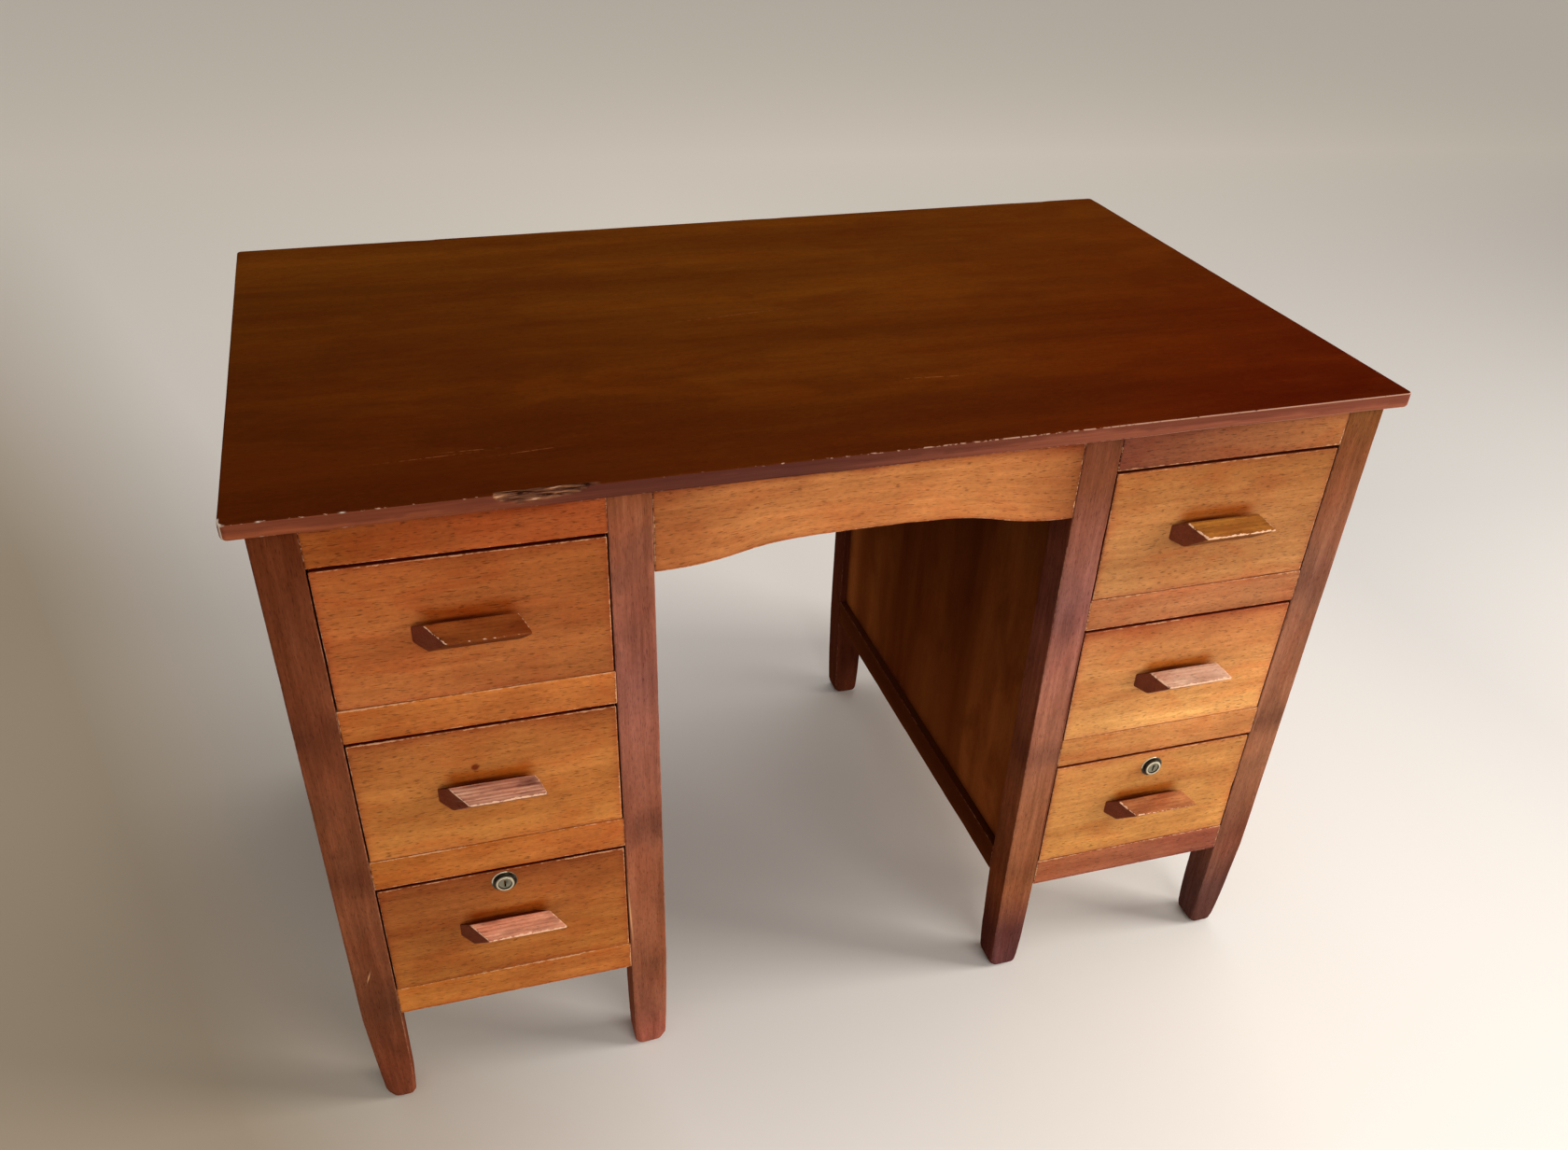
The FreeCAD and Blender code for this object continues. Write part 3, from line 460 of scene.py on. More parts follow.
# The red-brown wood painted dark as shade, for the sides and panels that little light reaches.
SHADED = {
    **RED_BROWN, "dark": (0.095, 0.021, 0.004), "main": (0.150, 0.039, 0.008), "light": (0.225, 0.064, 0.014),
    "stained": (0.09, 0.020, 0.004), "streaks": 0.05, "pores": 0.1, "shine": 0.0, "figure": (0.5, 8, 8),
}
BARE_INSIDE = {
    **ORANGE, "dark": (0.30, 0.18, 0.085), "main": (0.44, 0.28, 0.14), "light": (0.56, 0.39, 0.21),
    "stained": (0.22, 0.13, 0.07), "stain": 0.4, "pores": 0.4, "rough": 0.7, "shine": 0.15,
    "gloss": (1.0, 0.9, 0.8),
}
BAR = {
    **ORANGE, "bare": (0.80, 0.50, 0.33), "wear_reach": 0.006, "wear": 0.85, "pores": 0.35, "stain": 0.2,
    "shine": 0.12, "bare_line": 0.0005,
}
print("looks:", len((ORANGE, RED_BROWN, DARK_TOP, SHADED, BARE_INSIDE, BAR)))


# %% Materials
def panel_shade(finish, colour):
    """Painted shade: a panel lighter low down, darker towards the top of the knee space; its grain runs up.
    """
    grain, *_ = finish
    level = 1.45 - (grain.axes()[0] - 0.25).above(0, 1.9) * 0.95
    return colour.times(level.grey())


front_wood = wood("front_wood", ORANGE, detail=handle_grime_and_shadow)
rail_wood = wood("rail_wood", {**ORANGE, "wear_reach": 0.0055})
post_wood = wood("post_wood", RED_BROWN, detail=post_marks)
handle_wood = wood("handle_wood", BAR)
top_wood = wood("top_wood", DARK_TOP, detail=top_marks)
side_wood = wood("side_wood", SHADED)
upright_panel = wood("upright_panel_wood", SHADED, False, (2, 1, 0), panel_shade)
inside_wood = wood("inside_wood", BARE_INSIDE, False, (1, 0, 2))
print("wood finishes:", sum(1 for material in bpy.data.materials if material.name.endswith("wood")))

# %% [markdown]
# ## A worn board
# Most pieces are boards. A cube with a bevel would be too sharp and too even, because the arrises of an old
# desk are rounded more here and less there. So a board starts as the skin of a box whose grid lines crowd
# near its arrises, and each point is pulled onto a round whose radius wanders along the edge.


# %% A box's skin
def ripple(points, size, seed):
    """Smooth noise from -1 to 1 that changes over about one size, the same each run."""
    spots = np.asarray(points, float) / size + seed * 17.31
    cell = np.floor(spots).astype(np.int64)
    part = spots - cell
    ease = part * part * (3 - 2 * part)
    total = np.zeros(spots.shape[:-1])
    for corner in np.ndindex(2, 2, 2):
        at = cell + corner
        mixed = (at[..., 0] * 73856093) ^ (at[..., 1] * 19349663) ^ (at[..., 2] * 83492791)
        mixed = ((mixed ^ (mixed >> 13)) * 1274126177) & 0x7FFFFFFF
        mixed = ((mixed ^ (mixed >> 15)) * 668265263) & 0x7FFFFFFF
        weight = np.prod(np.where(corner, ease, 1 - ease), axis=-1)
        total += weight * (mixed / 0x3FFFFFFF - 1)
    return total


def grid_lines(low, high, reach, step, extra=()):
    """Places from one end of a board to the other, crowded where its arrises are rounded."""
    near = [share * reach for share in (0, 0.12, 0.3, 0.55, 0.8, 1, 2) if share * reach < (high - low) / 2]
    count = max(2, round((high - low - 2 * near[-1]) / step) + 1)
    places = [low + gap for gap in near] + [high - gap for gap in near] + list(extra)
    places += list(np.linspace(low + near[-1], high - near[-1], count))
    return np.unique(np.round(places, 6))


def skin(lines):
    """The points and outward faces of a box's skin whose grid runs through these lines."""
    counts = [len(line) for line in lines]
    ids = np.arange(math.prod(counts)).reshape(counts)
    quads = []
    for axis in range(3):
        for end in (0, -1):
            sheet = np.take(ids, end, axis=axis)
            if axis == 1:
                sheet = sheet.T
            corners = (sheet[:-1, :-1], sheet[1:, :-1], sheet[1:, 1:], sheet[:-1, 1:])
            quad = np.stack(corners, -1).reshape(-1, 4)
            quads.append(quad if end else quad[:, ::-1])
    quads = np.concatenate(quads)
    used, faces = np.unique(quads, return_inverse=True)
    spots = np.unravel_index(used, counts)
    points = np.stack([line[index] for line, index in zip(lines, spots)], -1)
    return points, faces.reshape(-1, 4)


print("skin of a cube:", len(skin([np.array((0, 1, 2))] * 3)[1]), "faces")


# %% A board's attributes and its piece
def finish_piece(name, points, faces, fields, material, body, stands_for):
    """Makes the object with its attributes and material, parents it to its body, hides its CAD nodes."""
    mesh = bpy.data.meshes.new(name)
    mesh.from_pydata(np.asarray(points).tolist(), [], [list(face) for face in faces])
    mesh.shade_smooth()
    for field, values in fields.items():
        values = np.asarray(values, np.float32)
        kind, key = ("FLOAT_VECTOR", "vector") if values.ndim == 2 else ("FLOAT", "value")
        mesh.attributes.new(field, kind, "POINT").data.foreach_set(key, values.ravel())
    mesh.set_sharp_from_angle(angle=math.radians(48))
    mesh.materials.append(material)
    piece = bpy.data.objects.new(name, mesh)
    bpy.context.scene.collection.objects.link(piece)
    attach(piece, body)
    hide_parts(*stands_for)


def board_fields(points, along, edge, tint, seed, spot=None):
    """A board's attributes: its place along and across the grain, arris distance, tint and grime spot."""
    across = [axis for axis in range(3) if axis != along]
    grain = np.stack([points[:, along], points[:, across[0]], points[:, across[1]]], -1)
    grain[:, 1] += ACROSS_SHIFT * seed
    grain[:, 2] += THROUGH_SHIFT * seed
    colours = tint(points) if callable(tint) else np.broadcast_to(tint, points.shape)
    fields = {"grain": grain, "edge": edge, "tint": colours}
    if spot:
        fields["spot"] = spot(points)
    return fields


print("attributes of a board: grain, edge and tint")


# %% A worn board
MOST_WORN = 2.2


def round_over(points, low, high, radius):
    """Pulls the points of a box's skin onto rounded arrises; the radius may differ from point to point."""
    radius = np.broadcast_to(np.asarray(radius)[..., None], points.shape)
    core = np.clip(points, low + radius, high - radius)
    out = points - core
    reach = np.linalg.norm(out, axis=1, keepdims=True)
    return core + out / reach * radius


def wandering(points, radius, seed, chips=1.0):
    """An arris radius that wanders, with small chips here and there."""
    slow = ripple(points, 0.09, seed)
    quick = ripple(points, 0.022, seed + 1)
    chip = np.clip(ripple(points, 0.03, seed + 2) - 0.45, 0, 1) * 2.2 * chips
    return radius * (1 + 0.35 * slow + 0.2 * quick + chip)


def arris_distance(points, low, high):
    """How far each point of a box's skin is from the nearest arris."""
    gaps = np.sort(np.minimum(points - low, high - points), axis=1)
    return gaps[:, 1]


def worn_board(name, low, high, along, radius, tint, seed, material, stands_for, step, body="carcass",
               shape=None, spot=None, extra=((), (), ())):
    """A board between two corners, with its grain along one axis and wandering arrises."""
    low, high = np.array(low, float), np.array(high, float)
    widest = radius * MOST_WORN
    lines = [grid_lines(low[axis], high[axis], widest, step, extra[axis]) for axis in range(3)]
    points, faces = skin(lines)
    edge = arris_distance(points, low, high)
    rounded = round_over(points, low, high, np.minimum(wandering(points, radius, seed), widest))
    fields = board_fields(points, along, edge, tint, seed, spot)
    if shape:
        rounded = shape(rounded)
    finish_piece(name, rounded, faces, fields, material, body, stands_for)


print("worn boards ready")

# %% [markdown]
# ## Posts and feet
# Each post is one square length of wood that tapers into its foot below the bottom rail. The outer and knee
# sides taper most. Turning isn't an option for a square foot, so the same worn board is drawn in towards its
# sole, where kicks and mops have rounded it most.

# %% Posts
POST_SIDE = 41 * MM
FOOT = 146 * MM
TOP_UNDER = 754 * MM
OUTER_FACE = 553 * MM
KNEE_FACE = 213 * MM
FRONT = -324 * MM
BACK = 340 * MM
BAY_TAPER, FACE_TAPER, REAR_TAPER = 1 * MM, 2 * MM, 1.2 * MM
SHOWN_TAPER = {"outer": 8 * MM, "inner": 3 * MM}
# Each sole, in millimetres: how far its shown side and its other side are worn back, and up to what height.
SOLE_WEAR = {"left_outer": (20, 2, 22), "left_inner": (22, 2, 16), "right_outer": (12, 10, 13),
             "right_inner": (12, 3, 14)}
POST_ROUND, SOLE_ROUND, MOST_ROUND = 1.5 * MM, 8.5 * MM, 10.5 * MM
SOLE_REACH = 30 * MM
print("posts of", round(1000 * POST_SIDE), "mm, feet from", round(1000 * FOOT), "mm down")

# %% Post colours
# Each front post has one tint for each of these heights. Smoky patches of a level and a strength lie beside
# the rails, just under the level.
HEIGHTS = np.array((0, 70, 150, 300, 560, 700, 754)) * MM
POST_TINTS = {
    "left_outer": [(0.61, 0.45, 0.37), (0.60, 0.45, 0.35), (0.71, 0.61, 0.46), (0.74, 0.64, 0.48),
                   (0.60, 0.47, 0.34), (0.37, 0.25, 0.16), (0.35, 0.22, 0.12)],
    "left_inner": [(1.12, 0.86, 0.97), (0.94, 0.86, 0.84), (0.91, 0.80, 0.66), (0.84, 0.73, 0.62),
                   (0.86, 0.81, 0.97), (0.94, 0.82, 0.74), (0.80, 0.70, 0.49)],
    "right_outer": [(0.34, 0.38, 0.53), (0.36, 0.40, 0.54), (0.60, 0.57, 0.57), (0.92, 0.97, 0.84),
                    (0.82, 0.90, 0.92), (0.73, 0.64, 0.42), (0.66, 0.64, 0.34)],
    "right_inner": [(0.37, 0.35, 0.60), (0.42, 0.39, 0.56), (1.0, 0.92, 0.66), (1.08, 1.11, 0.95),
                    (1.0, 1.03, 1.38), (0.57, 0.48, 0.38), (0.53, 0.44, 0.35)],
}
BACK_POST = (0.40, 0.27, 0.22)
SMOKY = ((562 * MM, 1), (373 * MM, 1), (184 * MM, 0.4))
SMOKE_GREY = np.array((0.66, 0.66, 0.72))
KNEE_SHADE = np.array((0.22, 0.4, 0.53))


def post_tint(key, number):
    """A tint that changes up a post, with smoky patches beside the rails and painted shade on the knee side.
    """
    def colours(points):
        stops = np.array(POST_TINTS[key])
        base = np.stack([np.interp(points[:, 2], HEIGHTS, stops[:, channel]) for channel in range(3)], -1)
        smoke = sum(share * np.exp(-((points[:, 2] - level + 18 * MM) / (26 * MM)) ** 2)
                    for level, share in SMOKY)
        smoke *= np.clip(0.75 + 0.6 * ripple(points, 0.028, number), 0, 1)
        cloud = 1 + 0.14 * ripple(points * (1, 1, 0.4), 0.02, number + 40)
        knee = (np.abs(points[:, 0]) < KNEE_FACE + 0.05 * MM)[:, None] * KNEE_SHADE
        return base * cloud[:, None] * (1 + smoke[:, None] * (SMOKE_GREY - 1)) * (1 - knee)
    return colours


print("posts with their own colours:", len(POST_TINTS))


# %% Posts in place
def make_post(side, sign, where, face, seed):
    """One post with its tapered foot."""
    inner = where == "inner"
    start = KNEE_FACE if inner else OUTER_FACE - POST_SIDE
    x_low = start if sign > 0 else -start - POST_SIDE
    y_low = FRONT if face == "front" else BACK - POST_SIDE
    low = np.array((x_low, y_low, 0))
    high = np.array((x_low + POST_SIDE, y_low + POST_SIDE, TOP_UNDER))
    shown_left = (sign < 0) != inner
    across = (SHOWN_TAPER[where], BAY_TAPER) if shown_left else (BAY_TAPER, SHOWN_TAPER[where])
    deep = (FACE_TAPER, REAR_TAPER) if face == "front" else (REAR_TAPER, FACE_TAPER)
    draw = np.array([across, deep]).T
    fine = np.array((0.4, 1.3)) * MM
    lines = [
        grid_lines(near, far, 7 * MM, step, [*(near + fine), *(far - fine)])
        for near, far, step in zip(low, high, (0.005, 0.008, 0.006))]
    points, faces = skin(lines)
    drop = np.clip(1 - points[:, 2] / FOOT, 0, 1)
    radius = wandering(points, POST_ROUND, seed) + SOLE_ROUND * drop**5
    rounded = round_over(points, low, high, np.minimum(radius, MOST_ROUND))
    share = (rounded[:, :2] - low[:2]) / POST_SIDE
    shrink = draw[0] * (1 - share) - draw[1] * share
    rounded[:, :2] += shrink * drop[:, None]
    shown_wide, other_wide, tall = SOLE_WEAR[f"{side}_{where}"]
    bend = np.clip(1 - rounded[:, 2] / (tall * MM), 0, 1)
    curve = MM * (1 - np.sqrt(1 - bend**2))
    wide_left, wide_right = (shown_wide, other_wide) if shown_left else (other_wide, shown_wide)
    rounded[:, 0] += wide_left * curve * np.clip(1 - (points[:, 0] - low[0]) / SOLE_REACH, 0, 1)
    rounded[:, 0] -= wide_right * curve * np.clip(1 - (high[0] - points[:, 0]) / SOLE_REACH, 0, 1)
    tint = post_tint(f"{side}_{where}", seed) if face == "front" else BACK_POST
    fields = board_fields(points, 2, arris_distance(points, low, high), tint, seed)
    name = f"{side}_{where}_{face}_post"
    finish_piece(name + "_worn", rounded, faces, fields, post_wood, "carcass", [name])


seed = 1
SIDES = {"left": -1, "right": 1}
for side, sign in SIDES.items():
    for where in ("outer", "inner"):
        for face in ("front", "back"):
            make_post(side, sign, where, face, seed)
            seed += 1
print("posts:", seed - 1)

# %% [markdown]
# ## Front rails and dividers
# Between the posts run a top rail, two dividers and a bottom rail, flush with the drawer fronts. Hands and
# drawers have darkened them unevenly. So each rail has its own colour at its left and right end, and in a
# band at its upper and its lower arris. On the top rails that upper band is painted shadow of the top's
# overhang; on the apron it is partly that painted shadow and partly a darker reddish tone.

# %% Rail colours
# Each rail: the left end, the right end, the band at the upper arris and the band at the lower one.
RAIL_TINTS = {
    "left_top_rail": ((0.84, 0.62, 0.55), (0.92, 0.58, 0.66), (0.75, 0.6, 0.6), (1.1, 0.95, 0.9)),
    "left_upper_divider": ((1.10, 0.95, 0.90), (1.24, 1.14, 1.20), (1.05, 1.0, 0.95), (0.9, 0.7, 0.6)),
    "left_lower_divider": ((1.12, 1.00, 0.80), (1.05, 0.88, 0.90), (1.0, 0.95, 0.9), (0.9, 0.7, 0.6)),
    "left_bottom_rail": ((1.23, 1.18, 1.00), (1.19, 1.07, 1.05), (1.0, 0.95, 0.9), (0.72, 0.45, 0.4)),
    "right_top_rail": ((0.52, 0.42, 0.95), (0.86, 0.88, 1.15), (0.8, 0.7, 0.8), (0.95, 0.85, 0.9)),
    "right_upper_divider": ((0.92, 0.92, 1.45), (0.96, 1.02, 1.70), (1.0, 0.9, 0.9), (0.85, 0.7, 0.7)),
    "right_lower_divider": ((1.30, 1.50, 1.90), (1.44, 1.66, 2.30), (1.0, 0.95, 0.95), (0.85, 0.7, 0.7)),
    "right_bottom_rail": ((0.86, 0.76, 1.30), (0.69, 0.57, 1.42), (1.0, 0.95, 0.9), (0.62, 0.50, 0.75)),
    "front_apron": ((0.86, 0.74, 0.95), (0.58, 0.475, 0.60), (0.62, 0.36, 0.42), (0.72, 0.55, 0.55)),
}


def rail_tint(key, low, high, number, middle=None):
    """A rail's colour: along it, in a band at its upper and its lower arris, and dark where it ends."""
    left, right, upper, lower = (np.array(part) for part in RAIL_TINTS[key])

    def colours(points):
        part = np.clip((points - low) / (high - low), 0, 1)
        along = part[:, :1] + 0.15 * ripple(points, 0.05, number)[:, None]
        base = left * (1 - along) + right * along
        if middle is not None:
            inside = np.clip(np.minimum(part[:, :1], 1 - part[:, :1]) / 0.22, 0, 1) ** 0.7
            base = base * (1 - inside) + middle * inside
        wander = 4 * MM * ripple(points, 0.03, number + 3)
        # On the top rails the upper band is painted shadow of the top's overhang; on the apron, partly.
        from_top = np.exp(-np.clip((high[2] - points[:, 2] + wander) / (9 * MM), 0, None) ** 2)[:, None]
        from_under = np.exp(-np.clip((points[:, 2] - low[2]) / (3.5 * MM), 0, None) ** 2)[:, None]
        base = base * (1 + from_top * (upper - 1)) * (1 + from_under * (lower - 1))
        ends = np.minimum(points[:, 0] - low[0], high[0] - points[:, 0])
        joint = np.exp(-(ends / (1.5 * MM)) ** 2)[:, None]
        return base * (1 - joint * (0.45, 0.55, 0.5)) * (1 + 0.1 * ripple(points, 0.03, number + 1))[:, None]
    return colours


print("rails with their own colours:", len(RAIL_TINTS))

# %% Front rails
RAIL = 22 * MM
BAY_START = 254 * MM
BAY_END = 512 * MM
RAIL_ROUND = 1.1 * MM
FRONT_RAILS = {
    "top_rail": (713, 754), "upper_divider": (524, 562),
    "lower_divider": (335, 373), "bottom_rail": (146, 184),
}
for side, sign in SIDES.items():
    for name, (bottom, top) in FRONT_RAILS.items():
        x_low, x_high = sorted((sign * BAY_START, sign * BAY_END))
        low, high = np.array((x_low, FRONT, bottom * MM)), np.array((x_high, FRONT + RAIL, top * MM))
        tint = rail_tint(f"{side}_{name}", low, high, seed)
        worn_board(f"{side}_{name}_worn", low, high, 0, RAIL_ROUND, tint, seed, rail_wood,
                   stands_for=[f"{side}_{name}"], step=0.005)
        seed += 1
print("front rails:", 2 * len(FRONT_RAILS))

# %% [markdown]
# ## Side and back rails
# The frame behind the fronts is the same joinery. Little light reaches it, so its wood is painted darker as
# shade, the knee side darkest. The CAD keeps the six rails of a pedestal in one node, so six boards stand for
# it together.

# %% Side rails
POST_BACK = FRONT + POST_SIDE
REAR_POST = BACK - POST_SIDE
LEVELS = {"top": (713 * MM, 754 * MM), "bottom": (146 * MM, 184 * MM)}
# Painted shade: DIM darkens the side and back rails, and KNEE_DIM the knee side's rails more.
DIM = (0.9, 0.85, 0.9)
KNEE_DIM = (0.69, 0.65, 0.85)
for side, sign in SIDES.items():
    for height, (bottom, top) in LEVELS.items():
        spans = {
            "outer": ((OUTER_FACE - RAIL, OUTER_FACE), (POST_BACK, REAR_POST), 1),
            "inner": ((KNEE_FACE, KNEE_FACE + RAIL), (POST_BACK, REAR_POST), 1),
            "back": ((BAY_START, BAY_END), (BACK - RAIL, BACK), 0),
        }
        for where, (across, deep, along) in spans.items():
            x_low, x_high = sorted(sign * x for x in across)
            low, high = (x_low, deep[0], bottom), (x_high, deep[1], top)
            dim = KNEE_DIM if where == "inner" else DIM
            worn_board(f"{side}_{where}_{height}_rail_worn", low, high, along, RAIL_ROUND, dim, seed,
                       side_wood, stands_for=[f"{side}_frame_rails"], step=0.012)
            seed += 1
low, high = (-KNEE_FACE, BACK - RAIL, 694 * MM), (KNEE_FACE, BACK, TOP_UNDER)
worn_board("rear_apron_worn", low, high, 0, RAIL_ROUND, DIM, seed, side_wood,
           stands_for=["rear_apron"], step=0.012)
seed += 1
print("side and back rails: 13")

# %% [markdown]
# ## The shaped apron
# The board over the knee space has a short flat at each end, a long ogee that climbs, and a shallow arch
# between. Sawn from one board, its grain runs straight through the curve. So a straight worn board is made
# first, and each column of its points is then shortened from below until it meets the line of the cut.

# %% Apron
APRON_TALL = 87.5 * MM
KNEE = 2 * KNEE_FACE
FLAT = 0.02 * KNEE
SWEEP = 0.34 * KNEE
RISE = 17.5 * MM
ARCH = 1 * MM
APRON_MIDDLE = np.array((1.22, 1.26, 1.65))


def apron_rise(across):
    """How far the cut edge has climbed at a distance from the middle of the desk."""
    run = np.clip(KNEE_FACE - np.abs(across) - FLAT, 0, None)
    small = (SWEEP**2 + RISE**2) / (4 * RISE)
    first = small - np.sqrt(np.clip(small**2 - run**2, 0, None))
    rest = np.clip(SWEEP - run, 0, None)
    second = RISE - (small - np.sqrt(np.clip(small**2 - rest**2, 0, None)))
    ogee = np.where(run < SWEEP / 2, first, second)
    chord = KNEE_FACE - FLAT - SWEEP
    large = (chord**2 + ARCH**2) / (2 * ARCH)
    arch = RISE + np.sqrt(np.clip(large**2 - np.asarray(across) ** 2, 0, None)) - (large - ARCH)
    return np.where(run > SWEEP, arch, ogee)


def saw_apron(points):
    """Shortens each column of the board to the line of the cut."""
    climbed = apron_rise(points[:, 0])
    share = (TOP_UNDER - points[:, 2]) / APRON_TALL
    points[:, 2] += climbed * share
    return points


low = np.array((-KNEE_FACE, FRONT, TOP_UNDER - APRON_TALL))
high = np.array((KNEE_FACE, FRONT + RAIL, TOP_UNDER))
tint = rail_tint("front_apron", low, high, seed, APRON_MIDDLE)
worn_board("front_apron_worn", low, high, 0, RAIL_ROUND, tint, seed, rail_wood,
           stands_for=["front_apron"], step=0.005, shape=saw_apron)
seed += 1
print("apron climbs", round(1000 * float(apron_rise(0)), 1), "mm in the middle")

# %% [markdown]
# ## The top
# The top is one thin dark board with rounded corners, a crisp upper arris and a softer lower one. Its front
# edge has lost a long splinter. The plan is rounded first and the arrises after, and where the splinter came
# off, the front face is pushed back in ridges that run with the grain. Two more attributes, `rim` and `chip`,
# tell the finish where the edge is and where the splinter came off.

# %% The top's plan and splinter
TOP_LOW = np.array((-570, -338, 754)) * MM
TOP_HIGH = np.array((570, 352, 770)) * MM
CORNER = 6 * MM
UPPER, LOWER = 1.4 * MM, 4.5 * MM
CHIP_LEFT, CHIP_RIGHT = -352 * MM, -270 * MM
CHIP_TALL, CHIP_DEEP = 11 * MM, 4.2 * MM


def round_plan(points, reach):
    """Rounds the corners of the plan, and gives each point's inward direction."""
    middle = (TOP_LOW[:2] + TOP_HIGH[:2]) / 2
    half = (TOP_HIGH[:2] - TOP_LOW[:2]) / 2
    signs = np.where(points[:, :2] < middle, -1.0, 1.0)
    gaps = half - np.abs(points[:, :2] - middle)
    inside = np.clip(reach - gaps, 0, None)
    length = np.linalg.norm(inside, axis=1)
    corner = (inside > 0).all(axis=1)
    widest = inside.max(axis=1)
    moved = np.where(corner[:, None], inside / np.maximum(length, 1e-9)[:, None] * widest[:, None], inside)
    gaps_now = np.where(inside > 0, reach - moved, gaps)
    plan = middle + signs * (half - gaps_now)
    nearest = (gaps == gaps.min(axis=1, keepdims=True)).astype(float)
    inward = np.where(corner[:, None], moved / np.maximum(widest, 1e-9)[:, None], nearest)
    inward /= np.maximum(np.linalg.norm(inward, axis=1, keepdims=True), 1e-9)
    return plan, -signs * inward, gaps.min(axis=1)


def chip_depth(points):
    """How far the splintered place is pushed back: deepest at the arris, nothing low on the edge."""
    share = np.clip((points[:, 0] - CHIP_LEFT) / (CHIP_RIGHT - CHIP_LEFT), 0, 1)
    tall = CHIP_TALL * np.sin(math.pi * share**0.8) ** 0.6 * (share > 0) * (share < 1)
    down = TOP_HIGH[2] - points[:, 2]
    ragged = tall * (1 + 0.25 * ripple(points, 0.007, 91))
    lens = np.clip(1 - down / np.maximum(ragged, 1e-6), 0, 1) * (tall > 0)
    ridges = 1 + 0.35 * ripple(points * (0.35, 1, 3), 0.0035, 92)
    return CHIP_DEEP * lens**0.75 * ridges


print("splinter:", round(1000 * (CHIP_RIGHT - CHIP_LEFT)), "mm long")

# %% Top
chip_columns = np.arange(CHIP_LEFT, CHIP_RIGHT, 1.6 * MM)
chip_rows = TOP_HIGH[2] - np.array((0.3, 0.8, 1.5, 2.6)) * MM
lines = [
    grid_lines(TOP_LOW[0], TOP_HIGH[0], CORNER, 0.011, chip_columns),
    grid_lines(TOP_LOW[1], TOP_HIGH[1], CORNER, 0.011),
    grid_lines(TOP_LOW[2], TOP_HIGH[2], LOWER, 0.002, chip_rows),
]
points, faces = skin(lines)
plan, inward, inset = round_plan(points, CORNER)
depth_top = TOP_HIGH[2] - points[:, 2]
depth_under = points[:, 2] - TOP_LOW[2]
shaped = np.column_stack([plan, points[:, 2]])
upper_arris, lower_arris = (depth_top, UPPER, -1, 71, 1.6), (depth_under, LOWER, 1, 72, 0.2)
for depth, size, direction, number, chips in (upper_arris, lower_arris):
    radius = np.minimum(wandering(points, size, number, chips), size * MOST_WORN)
    core = np.column_stack([np.clip(radius - inset, 0, None), np.clip(radius - depth, 0, None)])
    reach = np.linalg.norm(core, axis=1)
    both_near = (core > 0).all(axis=1) | (reach > radius)
    outward = core / np.maximum(reach, 1e-9)[:, None]
    fitted = np.where(both_near[:, None], radius[:, None] - outward * radius[:, None],
                      np.column_stack([inset, depth]))
    sideways = np.where(both_near, fitted[:, 0] - inset, 0)
    updown = np.where(both_near, fitted[:, 1] - depth, 0)
    shaped[:, :2] += inward * sideways[:, None]
    shaped[:, 2] += direction * updown
from_front = points[:, 1] - TOP_LOW[1]
push = np.where(from_front < CORNER, np.clip(chip_depth(points) - from_front, 0, None), 0)
shaped[:, 1] += push
edge = arris_distance(points, TOP_LOW, TOP_HIGH)
top_fields = board_fields(points, 0, edge, (1, 1, 1), TOP_SHIFT)
top_fields["rim"] = np.clip((4 * MM - inset) / (3 * MM), 0, 1) * (depth_top > 0.4 * MM)
top_fields["chip"] = np.clip(push / (1 * MM), 0, 1)
finish_piece("top_worn", shaped, faces, top_fields, top_wood, "carcass", ["top"])
print("top:", len(points), "points, chip up to", round(1000 * push.max(), 1), "mm deep")

# %% [markdown]
# ## Drawer fronts
# A front is a plain worn board with a rebate behind each end for the drawer's sides. Each came from another
# part of the tree, so each has its own tint. Hands have left a dark orange smear above every handle, and the
# attribute `spot`, a place measured from the handle's middle, tells the finish where.

# %% Drawer front colours
FLOORS = {1: 562 * MM, 2: 373 * MM, 3: 184 * MM}
MIDDLE = 383 * MM
FRONT_WIDE = 255 * MM
FRONT_THICK = 20 * MM
FRONT_FOOT, FRONT_HEAD = 1 * MM, 147.5 * MM
FRONT_ROUND = 1.4 * MM
REBATE, SIDE_THICK, SIDES_TALL = 8 * MM, 10 * MM, 121.3 * MM
HANDLE_UP, HANDLE_ASIDE = 74.25 * MM, 3.5 * MM
# Each front: its lower edge, its upper edge, and how much paler it gets to the right.
FRONT_TINTS = {
    "left_drawer_1": ((0.90, 0.78, 0.92), (0.89, 0.68, 0.68), -0.12),
    "left_drawer_2": ((1.48, 1.58, 1.56), (0.78, 0.65, 0.69), 0.02),
    "left_drawer_3": ((1.00, 0.94, 0.84), (0.78, 0.62, 0.66), 0.03),
    "right_drawer_1": ((1.24, 1.53, 2.25), (0.86, 0.87, 0.98), -0.04),
    "right_drawer_2": ((1.95, 2.70, 3.60), (0.92, 0.76, 1.08), 0.05),
    "right_drawer_3": ((1.24, 1.49, 1.63), (1.31, 1.56, 1.90), 0.02),
}


